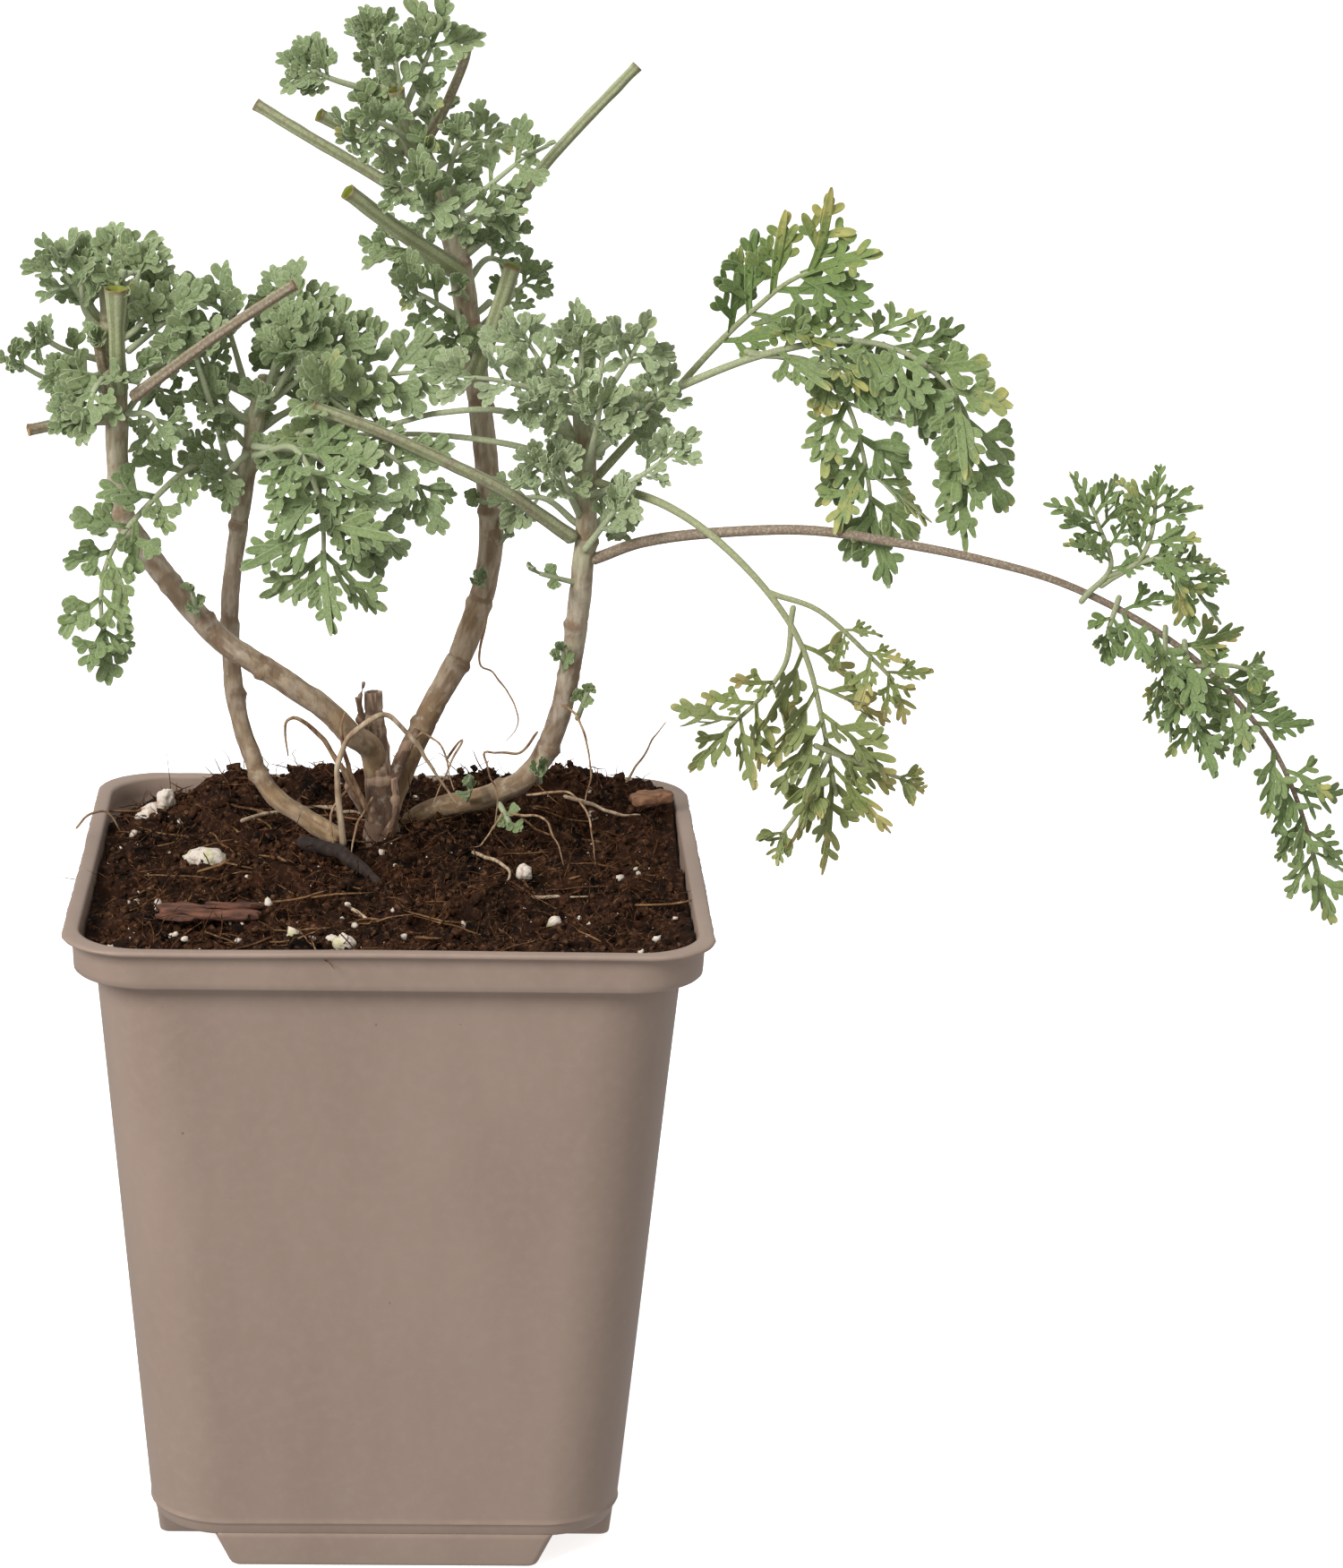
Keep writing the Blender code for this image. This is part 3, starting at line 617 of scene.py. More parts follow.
def buildSoil(plan):
    draw = np.random.default_rng(plan["seed"])
    peat = earthMaterial("dampPeat", linear(13, 8, 5), linear(58, 35, 22), linear(110, 74, 52))
    crumb = earthMaterial("peatCrumb", linear(18, 11, 6), linear(76, 48, 31), linear(140, 100, 72))
    coir = earthMaterial("coir", linear(40, 24, 14), linear(102, 66, 42), linear(172, 130, 94))
    fleck = earthMaterial("strawFleck", linear(92, 62, 40), linear(150, 112, 76), linear(196, 164, 124))
    addPiece("pottingSoil", soilSurface(plan), peat, ["potting_soil"])
    shapes, faces = crumbShapes(20, draw)
    x, y = spotsOnSoil(plan["crumbs"], draw)
    sizes = draw.gamma(2.0, 0.18, len(x)).clip(0.12, 1.1)
    places = np.stack([x, y, soilTop(x, y) + sizes * draw.uniform(-0.2, 0.8, len(x))], -1)
    addPiece("peatCrumbs", scatter(shapes, faces, places, sizes, draw), crumb)
    count = plan["fibres"]
    x, y = spotsOnSoil(count, draw, 40.0)
    starts = np.stack([x, y, soilTop(x, y) + draw.uniform(-0.2, 0.7, count)], -1)
    headings, lengths = draw.uniform(0, 2 * math.pi, count), draw.gamma(3.0, 1.1, count).clip(1.0, 9.0)
    fibres = fibreSurface(starts, headings, lengths, draw.uniform(0.04, 0.13, count), draw, 0.45, 0.5)
    addPiece("coirFibres", fibres, coir)
    count = plan["straws"]
    x, y = spotsOnSoil(count, draw, 37.0)
    starts = np.stack([x, y, soilTop(x, y) + draw.uniform(0.3, 1.0, count)], -1)
    headings, lengths = draw.uniform(0, 2 * math.pi, count), draw.uniform(4.0, 12.0, count)
    straws = fibreSurface(starts, headings, lengths, draw.uniform(0.12, 0.3, count), draw, 0.22, 0.12)
    addPiece("strawFlecks", straws, fleck)


def perliteMaterial():
    # Chalky white grains with brown dust in the pores and a trace of green algae in patches
    paint = finishGraph("perliteWhite", 0.9)
    tone = paint.mixed(paint.spread(paint.noise(0.8, 4.0), 0.5, 0.72), linear(226, 214, 200),
                 linear(176, 150, 128))
    tone = paint.mixed(paint.spread(paint.noise(3.2, 2.0), 0.58, 0.7, 0.0, 0.55), tone,
                 linear(190, 190, 120))
    paint.put("Base Color", tone)
    paint.bumped(paint.noise(0.45, 4.0), 0.8, 0.2)
    return paint.made


def spun(points, turn):
    # Points turned about the upright axis
    c, s = math.cos(turn), math.sin(turn)
    x, y, z = np.moveaxis(points, -1, 0)
    return np.stack([x * c - y * s, x * s + y * c, z], -1)


def lumpSurface(center, radii, turn, seed):
    # A ball of rings whose radius swells and dips with noise
    rows, columns = 26, 36
    polar = np.linspace(0.06, math.pi - 0.06, rows)[:, None]
    around = np.linspace(0, 2 * math.pi, columns, endpoint=False)[None]
    ball = np.stack([np.sin(polar) * np.cos(around), np.sin(polar) * np.sin(around),
                     -np.cos(polar) + 0 * around], -1)
    swell = 1 + sum(depth * cloud(ball, size, seed + k)
                    for k, (depth, size) in enumerate(((0.22, 0.9), (0.13, 0.4), (0.06, 0.2))))
    ball = ball * swell[..., None] * np.asarray(radii)
    return closedRings(spun(ball, turn) + np.asarray(center))


perlitePlan = {
    # x, y, radii, turn: the cluster at the back left, the oval one, the chunk in front and the round one
    "big": [
        ("perliteCluster", ["perlite_1"],
         [(-36.2, 29.0, (1.9, 1.5, 1.3), 0.2), (-34.2, 29.5, (1.5, 1.3, 1.7), 1.1),
          (-37.6, 28.0, (1.2, 1.1, 0.9), 0.4), (-35.0, 27.6, (1.5, 1.1, 0.9), 0.0)]),
        ("perliteOval", ["perlite_2"], [(-26.9, -0.4, (3.2, 2.0, 1.5), -0.35)]),
        ("perliteChunk", ["perlite_3"],
         [(-6.2, -35.8, (1.5, 1.3, 1.4), 0.3), (-7.9, -35.4, (0.9, 0.8, 0.7), 0.9)]),
        ("perliteRound", ["perlite_4"], [(19.0, -8.0, (1.3, 1.3, 1.2), 0.0)]),
    ],
    "small": [(-38.0, 11.7, 0.9), (-32.7, -19.6, 1.0), (-17.0, -23.0, 0.8), (-13.5, -33.0, 1.1),
              (-6.0, -22.0, 0.6), (23.0, -26.0, 1.1), (33.0, -5.0, 0.7), (-30.0, -32.0, 0.7),
              (5.0, -30.0, 0.5), (37.0, -33.5, 0.7), (-20.0, 22.0, 0.6), (12.0, 27.0, 0.6), (30.0, 22.0, 0.8),
              (-8.0, 30.0, 0.7)],
    "specks": 170,
}


def buildPerlite(plan):
    finish = perliteMaterial()
    for index, (name, nodes, lumps) in enumerate(plan["big"]):
        made = []
        for k, (x, y, radii, turn) in enumerate(lumps):
            center = (x, y, soilTop(np.array(x), np.array(y)) + radii[2] * 0.75)
            made.append(lumpSurface(center, radii, turn, 40 + 5 * index + k))
        addPiece(name, joinSurfaces(made), finish, nodes)
    draw = np.random.default_rng(5)
    shapes, faces = crumbShapes(8, draw)
    listed = np.array(plan["small"])
    x, y = spotsOnSoil(plan["specks"], draw)
    x, y = np.concatenate([listed[:, 0], x]), np.concatenate([listed[:, 1], y])
    sizes = np.concatenate([listed[:, 2], draw.gamma(2.0, 0.12, plan["specks"]).clip(0.12, 0.6)])
    places = np.stack([x, y, soilTop(x, y) + sizes * 0.6], -1)
    addPiece("perliteSpecks", scatter(shapes, faces, places, sizes, draw), finish)


buildSoil(soilPlan)
buildPerlite(perlitePlan)
print("soil and perlite built")


# Stems, crown and stalks
stemPlan = {
    "sides": 30, "step": 0.55,
    "routes": {   # solid, radius, how the tip ends, leaf scars as shares of the length, centre line
        "leftStem": ("stem_left", 1.72, "cut", (0.3, 0.42, 0.5, 0.63, 0.78, 0.93),
                     [(-2.2, 10.4, 106), (-3.2, 9, 110.5), (-6, 6, 113.5), (-10, 4, 118), (-18, 2, 124),
                      (-25.5, 1, 129.5), (-35.5, 2, 141.5), (-39, 3, 148.5), (-39.5, 3, 166.5),
                      (-40.5, 3, 180)]),
        "frontLeftStem": ("stem_front_left", 1.42, "round", (0.2, 0.36, 0.5, 0.7, 0.85),
                          [(-8, 4, 98.5), (-12.5, 5, 101), (-18, 6, 105), (-22, 8, 114), (-23.5, 10, 123),
                           (-23.5, 10, 135), (-20, 8, 159), (-18.5, 8, 165.5)]),
        "centreStem": ("stem_centre", 1.85, "cut", (0.16, 0.25, 0.33, 0.45, 0.58, 0.68, 0.76, 0.86),
                       [(-1.5, 10.5, 96), (-1, 13, 99.5), (1, 15.5, 104.5), (5.5, 16, 114.5),
                        (10.5, 17, 124.5), (14, 18, 138), (13, 18, 153.5), (10, 18, 174.5), (7, 18, 187.5),
                        (0.5, 18, 201.5), (-2, 18, 206.5)]),
        "rightStem": ("stem_right", 1.7, "round", (0.24, 0.36, 0.5, 0.6, 0.75, 0.84),
                      [(-0.5, 14, 93), (2, 15.5, 96.5), (6, 16.6, 99.2), (13.5, 15, 101.5), (20, 13, 105.5),
                       (24, 11, 114), (26, 8, 125.5), (27, 6, 136.5), (27.5, 5, 147.5), (26.5, 5, 164.5)]),
    },
}


def barkRelief(radius, scars, length, seed, rough=1.0):
    # Fissures run lengthwise: noise on a cylinder stretched along it, plus a swelling at every leaf scar
    def relief(along, around):
        along, around = np.broadcast_arrays(along, around)
        drum = np.stack([np.cos(around) * radius, np.sin(around) * radius, along * 0.3], -1)
        crack = np.abs(cloud(drum, 0.55, seed)) ** 0.7
        lump = cloud(drum * (1, 1, 2.2), 1.7, seed + 1)
        made = rough * (-0.15 * (1 - crack) + 0.12 * lump) * (1 - 0.4 * along / length)
        for index, share in enumerate(scars):
            gap = along - share * length
            facing = np.clip(0.35 + 0.65 * np.cos(around - 2.4 * index), 0, 1)
            swelling, groove = np.exp(-(gap / 0.7) ** 2), np.exp(-((gap - 0.85) / 0.28) ** 2)
            made = made + 0.42 * swelling * facing - 0.14 * groove
        return made
    return relief


def stemColors(even, spot, sides, relief, length, scars=()):
    # shape: how far up, how deep the fissure (this depth lays painted shade into the fissures), how near a
    # leaf scar
    up = even[spot] / length
    around = np.linspace(0, 2 * math.pi, sides, endpoint=False)
    depth = np.clip(0.5 + relief(even[:, None], around[None])[spot] * 2.2, 0, 1)
    near = np.zeros_like(depth)
    for index, share in enumerate(scars):
        facing = np.clip(0.2 + 0.8 * np.cos(around - 2.4 * index), 0, 1)[None]
        near = np.maximum(near, np.exp(-((even[spot] - share * length - 0.3) / 0.75) ** 2)[:, None] * facing)
    colors = np.stack(np.broadcast_arrays(up[:, None], depth, near, depth * 0 + 1.0), -1)
    flat = colors.reshape(-1, 4)
    return np.concatenate([flat, flat[:1], flat[-1:]])


def barkMaterial(name, low, mid, top, dirtAndCreaseShade):
    # Brown and scaly at the foot, mauve grey in the middle, green under grey felt at the top; darker streaks
    # and leaf scars, and painted shade in the sunken fissures
    paint = finishGraph(name, 0.75)
    up, depth, scar, _ = paint.carried("shape")
    patch = paint.noise(6.0, 3.0)
    height = paint.sums("ADD", up, paint.spread(patch, 0.3, 0.7, -0.16, 0.16))
    tone = paint.mixed(paint.spread(height, 0.05, 0.5), low, mid)
    tone = paint.mixed(paint.spread(height, 0.55, 0.9), tone, top)
    streak = paint.noise(0.7, 4.0, (1.0, 1.0, 0.22))
    tone = paint.mixed(paint.spread(streak, 0.45, 0.75, 0.0, 0.55), tone, dirtAndCreaseShade)
    # painted shade: the sunken fissures and scar grooves take the dark colour by how deep they sink
    tone = paint.mixed(paint.spread(depth, 0.42, 0.2, 0.0, 0.7), tone, dirtAndCreaseShade)
    tone = paint.mixed(paint.spread(scar, 0.15, 0.7, 0.0, 0.75), tone, dirtAndCreaseShade)
    tone = paint.mixed(paint.spread(paint.noise(1.3, 2.0), 0.6, 0.75, 0.0, 0.5), tone,
                 linear(204, 194, 178))
    paint.put("Base Color", tone)
    paint.put("Specular IOR Level", 0.35)
    paint.put("Sheen Weight", 0.12)
    paint.put("Sheen Roughness", 0.5)
    paint.bumped(paint.sums("ADD", streak, paint.noise(0.3, 3.0)), 0.6, 0.12)
    return paint.made


def buildStems(plan):
    finish = barkMaterial("shootBark", linear(178, 150, 114), linear(194, 178, 158), linear(180, 178, 146),
                          linear(122, 94, 66))
    for index, (name, (node, radius, ending, scars, points)) in enumerate(plan["routes"].items()):
        route, even = smoothRoute(points, plan["step"])
        length = even[-1]
        radii = radius * np.interp(even / length, (0, 0.1, 0.5, 0.9, 1), (1.12, 1.02, 1.0, 0.95, 0.86))
        relief = barkRelief(radius, scars, length, 60 + index * 5)
        surface, spot = sweep(route, even, radii, plan["sides"], relief, ((0.3, 0.9), (0.7, 0.5)),
                              cutEnd if ending == "cut" else roundStart)
        colors = stemColors(even, spot, plan["sides"], relief, length, scars)
        addPiece(name, surface, finish, [node], colors)


crownPlan = {
    "trunk": [((-1, 8, 80), 2.4), ((-1.5, 8, 92), 3.0), ((-1.5, 8.5, 98), 2.9), ((-2, 10, 106), 2.3),
              ((-2.5, 11, 112), 1.7), ((-3, 11, 118.6), 1.35)],
    "spurs": [   # split stubs of last year's shoots: points and radius
        ([(-2.2, 9, 108), (-4.0, 8, 113.5), (-5.2, 7.4, 118.6)], 0.75),
        ([(-0.5, 9.2, 104), (1.5, 10.5, 109), (3.6, 12.4, 112.5)], 0.9),
        ([(-3, 8, 100), (-5.4, 6.4, 104), (-7.2, 5.2, 108.5)], 0.7),
        ([(-1.2, 6.3, 97), (0.6, 5.2, 102), (0.2, 5.6, 107)], 0.6),
        ([(-3.4, 10.4, 113), (-4.6, 9.8, 117), (-4.3, 9.6, 120.4)], 0.4),
    ],
}


def buildCrown(plan):
    points = [point for point, _ in plan["trunk"]]
    route, even = smoothRoute(points, 0.5)
    length = even[-1]
    radii = np.interp(even / length, np.linspace(0, 1, len(points)), [radius for _, radius in plan["trunk"]])
    relief = barkRelief(2.2, (0.55, 0.66, 0.78, 0.9), length, 91, 2.6)
    surface, spot = sweep(route, even, radii, 34, relief, roundStart, cutEnd)
    made = [surface]
    colors = [stemColors(even, spot, 34, relief, length)]
    for index, (points, radius) in enumerate(plan["spurs"]):
        route, even = smoothRoute(points, 0.4)
        relief = barkRelief(radius, (0.7,), even[-1], 95 + index, 2.2)
        radii = radius * np.linspace(1.3, 0.75, len(even))
        surface, spot = sweep(route, even, radii, 16, relief, roundStart, cutEnd)
        made.append(surface)
        colors.append(stemColors(even, spot, 16, relief, even[-1] * 2))
    finish = barkMaterial("crownBark", linear(136, 106, 84), linear(168, 138, 114), linear(184, 158, 134),
                          linear(80, 56, 40))
    addPiece("rootCrown", joinSurfaces(made), finish, ["rootstock_crown"], np.concatenate(colors))


stalkPlan = {   # solid, radius, green (0 is old), centre line from the cut end to the shoot
    "cutStalkLeftLow": ("cut_stalk_left_low", 0.85, 0.35,
                        [(-51.5, -2, 159.5), (-46, 0, 160.3), (-40.5, 1.8, 160.6)]),
    "cutStalkLeftHigh": ("cut_stalk_left_high", 0.78, 0.2,
                         [(-14, -7, 181.5), (-25, -6.5, 174), (-36.5, -4.5, 165)]),
    "cutStalkTopLeft": ("cut_stalk_top_left", 0.85, 0.7,
                        [(-20.5, 22, 202.5), (-13.5, 21, 198.5), (-1.5, 20, 191.8), (4, 18.6, 188.5)]),
    "cutStalkTopRight": ("cut_stalk_top_right", 0.8, 0.75,
                         [(34, 20, 209), (22.5, 19.5, 196.5), (15.5, 19, 187.3), (8.5, 18.5, 181)]),
    "cutStalkTop": ("cut_stalk_top", 0.7, 0.4,
                    [(10, 20.5, 214), (9, 20.3, 208.5), (5, 20, 199.5), (1.5, 18.8, 196)]),
    "cutStalkThick": ("cut_stalk_thick", 1.15, 0.95, [(-7, 6, 192.5), (-0.5, 10, 187), (6.4, 14.6, 181.7),
                                                      (9, 17, 179.4)]),
    "cutStalkShort": ("cut_stalk_short", 1.25, 0.9, [(16.5, 14.3, 181), (14.8, 14.6, 175), (12.8, 15.4, 169),
                                                     (11.5, 17, 165)]),
    "cutStalkCrossing": ("cut_stalk_crossing", 0.9, 0.6, [(-11.5, -3, 163.5), (-2.5, -2, 160), (5, -1, 156.5),
                                                          (15, 0, 151.5), (20.5, 2, 147.5),
                                                          (25.5, 4, 143.6)]),
    "cutStalkUpperShort": (None, 0.95, 0.9, [(-11.2, 14, 202.2), (-6.5, 15.6, 199.6), (-2, 17, 197)]),
    "cutStalkStub": (None, 1.15, 0.85, [(-0.4, 13.2, 206), (1.0, 15.2, 200), (4, 17, 193)]),
    "cutStalkFront": (None, 1.15, 1.0, [(-39, -3.6, 180), (-39, -3, 175), (-39, -2, 170), (-39, 1, 165)]),
    "cutStalkDark": (None, 0.8, 0.25, [(-41.6, -0.6, 171.5), (-41.2, 0.2, 168.5), (-40.4, 1.6, 164.5)]),
}


def ribbedRelief(radius, seed):
    # Five soft ridges run along the stalk, with a little unevenness
    def relief(along, around):
        along, around = np.broadcast_arrays(along, around)
        drum = np.stack([np.cos(around) * radius, np.sin(around) * radius, along * 0.4], -1)
        return radius * (0.07 * np.cos(around * 5 + 0.05 * along) + 0.06 * cloud(drum, 0.9, seed))
    return relief


def stalkMaterial(name, fresh, old):
    # Ridged green stalk under grey felt, with painted shade in the grooves between the ridges, flushed purple
    # brown where it has aged, brown at the cut
    paint = finishGraph(name, 0.62)
    along, ridge, green, inside = paint.carried("shape")
    streak = paint.noise(1.1, 4.0)
    flush = paint.sums("ADD", green, paint.spread(streak, 0.3, 0.7, -0.3, 0.3))
    tone = paint.mixed(paint.spread(flush, 0.3, 0.72), old, fresh)
    felt = paint.noise(0.35, 3.0)
    tone = paint.mixed(paint.spread(felt, 0.42, 0.7, 0.0, 0.5), tone, linear(196, 198, 176))
    # painted shade: darker green laid into the grooves between the ridges
    tone = paint.mixed(paint.spread(ridge, 0.46, 0.3, 0.0, 0.45), tone, linear(92, 98, 62))
    rim = paint.sums("MULTIPLY", paint.spread(along, 0.05, 0.01),
               paint.spread(streak, 0.35, 0.6, 0.3, 1.0))
    tone = paint.mixed(rim, tone, linear(124, 96, 66))
    pith = paint.mixed(paint.spread(green, 0.5, 0.9), linear(168, 140, 106),
                 linear(132, 140, 50))
    tone = paint.mixed(inside, tone, pith)
    paint.put("Base Color", tone)
    paint.put("Specular IOR Level", 0.35)
    paint.put("Sheen Weight", 0.15)
    paint.put("Sheen Roughness", 0.5)
    paint.bumped(felt, 0.5, 0.08)
    return paint.made


def buildStalks(plan):
    finish = stalkMaterial("cutStalkGreen", linear(156, 162, 116), linear(142, 118, 98))
    extra = []
    for index, (name, (node, radius, green, points)) in enumerate(plan.items()):
        route, even = smoothRoute(points, 0.4)
        relief = ribbedRelief(radius, 120 + index)
        flare = 1.5 if name == "cutStalkFront" else 1.06
        radii = radius * np.interp(even / even[-1], (0, 0.04, 0.35, 0.7, 1),
                                   (flare, flare - 0.09, 0.97, 1.0, 1.2))
        hollow = ((0.05, 0.95), (0.0, 0.84), (-0.5, 0.76), (-1.1, 0.68), (-1.4, 0.25))
        surface, spot = sweep(route, even, radii, 24, relief, hollow, roundStart)
        past = even[spot] / 12.0
        around = np.linspace(0, 2 * math.pi, 24, endpoint=False)
        # ridge is 1 on the ridges and 0 in the grooves, where the stalk finish paints shade
        ridge = 0.5 + np.broadcast_to(np.cos(around * 5) * 0.5, (len(spot), 24))
        inside = (np.arange(len(spot)) < len(hollow) - 1).astype(float)[:, None]
        colors = np.stack(np.broadcast_arrays(past[:, None], ridge, ridge * 0 + green, inside),
                          -1).reshape(-1, 4)
        colors = np.concatenate([colors, colors[:1], colors[-1:]])
        if node:
            addPiece(name, surface, finish, [node], colors)
        else:
            extra.append((surface, colors))
    addPiece("cutStalkStubs", joinSurfaces([s for s, _ in extra]), finish, (),
             np.concatenate([c for _, c in extra]))


# Straw, roots, bark and litter
litterPlan = {
    "straw": [(-7, 1, 98.4), (-8, 1, 108.5), (-7, 1, 112.5), (-4.5, 1.5, 116), (-0.5, 3, 117),
              (3.5, 4, 112.5), (9.5, 6, 103)],
    "darkRoot": [(-13.0, 1.2, 98.4), (-9.5, -2.5, 98.7), (-6, -6.5, 98.4), (-3, -11, 97.4),
                 (-0.5, -15, 96.2)],
    "shrivelled": [[(-4, 5, 103), (-8.5, 4, 111), (-13, 2, 116.5), (-15, 1, 117), (-15.5, 1, 115),
                    (-15, 1, 111.5)],
                   [(-3, 4, 101), (-5.5, 3, 107), (-7.5, 2, 114.5), (-6.8, 1.5, 118)]],
    "roots": [[(13.5, 14, 129), (12.5, 12, 123), (15, 12, 121), (18, 10, 116.5), (18, 10, 113.5),
               (16.5, 10, 111.5)],
              [(21, 11, 112.5), (18.5, 9, 110), (13.5, 8, 110.5), (14, 8, 107.5), (15.5, 8, 104),
               (15, 7, 99)],
              [(20, 8, 104), (25, 4, 105.5), (28.5, 0, 103.5), (29.5, -4, 97)],
              [(16, 6, 101.5), (13.5, 2, 98.5), (11.5, 1, 98)],
              [(17.5, 5, 102), (22.5, 1, 102), (25, -3, 96.5)],
              [(35, 20, 103), (38, 20, 108.5), (40.5, 20, 112)],
              [(-46, 8, 98.5), (-44.5, 8, 100), (-42, 10, 100.5), (-40, 11, 97)],
              [(8, 13, 108), (10, 9, 112), (8.5, 7, 109), (6, 6, 103)],
              [(-6.5, 3, 106), (-9, 0, 103), (-8, -2, 98)],
              [(2, 12, 108), (4, 8, 113), (7, 5, 112), (9, 3, 106)],
              [(-3, 5, 104), (-5, 1, 101), (-6, -3, 97)],
              [(24, 9, 118), (27, 6, 116), (29, 4, 110), (28, 3, 104)]],
    "twigs": [[(-6.5, -20, 95.6), (-3, -26, 95.2), (-0.5, -33, 94.2)],
              [(-10.9, 19.8, 98.4), (-4, 15.8, 98.4)],
              [(14, -14, 96.4), (20, -17, 96.2), (28, -16, 96)],
              [(12, 1, 97.2), (17, -8, 97.4), (16, -13, 96)],
              [(-22, 12, 98.5), (-16, 18, 98.5), (-9, 20, 98.6)],
              [(26, 26, 98.6), (33, 18, 98.4), (37, 20, 97.6)]],
}


def threads(lines, radius, seed, sides=8, step=0.5):
    # Tapering round strands along smooth lines that wander a little and have fissured sides
    made = []
    for index, points in enumerate(lines):
        route, even = smoothRoute(points, step)
        wander = np.stack([cloud(route + 7 * k, 2.2, seed + index) for k in range(3)], -1)
        route = route + wander * 0.35 * np.sin(np.pi * even / even[-1])[:, None]
        radii = radius * np.interp(even / even[-1], (0, 0.7, 1), (1.1, 0.8, 0.35))
        relief = barkRelief(radius, (), even[-1], seed + index, radius * 1.2)
        made.append(sweep(route, even, radii, sides, relief, roundStart, ((0.05, 0.6),))[0])
    return joinSurfaces(made)


def slabSurface(center, size, turn, seed):
    # A thin split chip: a rounded block, flat above and below, whose outline and faces are torn by noise
    rows, columns = 24, 64
    polar = np.linspace(-math.pi / 2 + 0.05, math.pi / 2 - 0.05, rows)[:, None]
    around = np.linspace(0, 2 * math.pi, columns, endpoint=False)[None]

    def boxy(value, power):
        return np.sign(value) * np.abs(value) ** power
    x = boxy(np.cos(polar), 0.5) * boxy(np.cos(around), 0.55)
    y = boxy(np.cos(polar), 0.5) * boxy(np.sin(around), 0.6)
    z = boxy(np.sin(polar), 0.6) + 0 * around
    block = np.stack([x, y * (1 - 0.45 * np.clip(x, 0, 1)), z], -1) * np.asarray(size) / 2
    torn = cloud(block, 2.6, seed) * 0.7 + cloud(block, 0.9, seed + 1) * 0.6
    grain = cloud(block * (0.12, 1, 1), 0.5, seed + 2) * 0.22
    warp = grain + 0.4 * cloud(block, 5.0, seed + 3)
    block = block * (1 + 0.3 * torn[..., None]) + (0, 0, 1) * warp[..., None]
    return closedRings(spun(block, turn) + np.asarray(center))


def woodMaterial(name, dark, light, stretch):
    # Fibrous brown wood with its grain drawn out one way
    paint = finishGraph(name, 0.85)
    grain = paint.noise(0.9, 4.0, stretch)
    tone = paint.mixed(paint.spread(grain, 0.35, 0.65), dark, light)
    tone = paint.mixed(paint.spread(paint.noise(3.0, 3.0), 0.55, 0.75, 0.0, 0.6), tone, dark)
    paint.put("Base Color", tone)
    paint.bumped(grain, 0.8, 0.25)
    return paint.made


def buildLitter(plan):
    straw = woodMaterial("dryStraw", linear(150, 122, 94), linear(205, 184, 156), (1.0, 1.0, 0.25))
    root = woodMaterial("paleRoot", linear(120, 88, 62), linear(186, 156, 122), (1.0, 1.0, 0.4))
    addPiece("dryStraw", threads([plan["straw"]], 0.5, 200, 12), straw, ["dry_straw"])
    addPiece("shrivelledStalks", threads(plan["shrivelled"], 0.42, 205, 10), root)
    addPiece("fineRoots", threads(plan["roots"], 0.2, 210), root)
    addPiece("soilTwigs", threads(plan["twigs"], 0.33, 230), straw)
    dark = woodMaterial("wetRoot", linear(22, 15, 12), linear(58, 40, 30), (1.0, 1.0, 0.4))
    addPiece("darkRoot", threads([plan["darkRoot"]], 1.15, 240, 18, 0.35), dark, ["dark_root"])
    bark = woodMaterial("barkFlake", linear(58, 34, 24), linear(122, 78, 58), (0.25, 1.0, 1.0))
    flakes = [slabSurface((-25.6, -26.2, 96.3), (14.5, 4.6, 1.3), -0.16, 250),
              slabSurface((-22.0, -25.0, 97.0), (8.0, 2.6, 0.8), 0.1, 255),
              slabSurface((-29.5, -28.2, 96.2), (6.0, 2.0, 0.7), -0.5, 260)]
    addPiece("barkFlake", joinSurfaces(flakes), bark, ["bark_flake"])
    chip = slabSurface((38.6, 24.2, 99.0), (6.2, 3.6, 1.6), 0.35, 270)
    paler = woodMaterial("barkChip", linear(112, 76, 52), linear(166, 122, 92), (0.3, 1.0, 1.0))
    addPiece("barkChip", chip, paler, ["bark_chip"])


# Leaf blades
# wide: half width of a lobe; ribs: share along the midrib, length, angle, pairs of small lobes
bladeKinds = {
    "hand": {"length": 7.0, "wide": 0.76, "foot": 0.45, "stem": 0.36, "round": 2.2,
             "ribs": [(0.3, 3.7, 52, 1), (0.62, 2.4, 38, 0)]},
    "fork": {"length": 4.6, "wide": 0.7, "foot": 0.42, "stem": 0.32, "round": 2.2,
             "ribs": [(0.34, 2.3, 46, 0), (0.64, 1.5, 36, 0)]},
    "feather": {"length": 12.0, "wide": 0.72, "foot": 0.42, "stem": 0.5, "round": 1.7,
                "ribs": [(0.22, 5.6, 46, 1), (0.46, 4.6, 38, 1), (0.7, 2.9, 32, 0)]},
    "comb": {"length": 8.0, "wide": 0.5, "foot": 0.32, "stem": 0.34, "round": 1.7,
             "ribs": [(0.24, 3.6, 44, 1), (0.5, 2.9, 36, 0), (0.74, 1.8, 32, 0)]},
    "plume": {"length": 14.0, "wide": 0.6, "foot": 0.42, "stem": 0.4, "round": 1.7,
              "ribs": [(0.18, 5.0, 46, 1), (0.38, 4.6, 40, 1), (0.58, 3.5, 36, 0), (0.78, 2.2, 32, 0)]},
}
bladeLook = {"rows": 8, "sides": 9, "variants": 5, "thick": 0.19, "groove": 0.12, "channel": 0.3,
             "crinkle": 0.14}


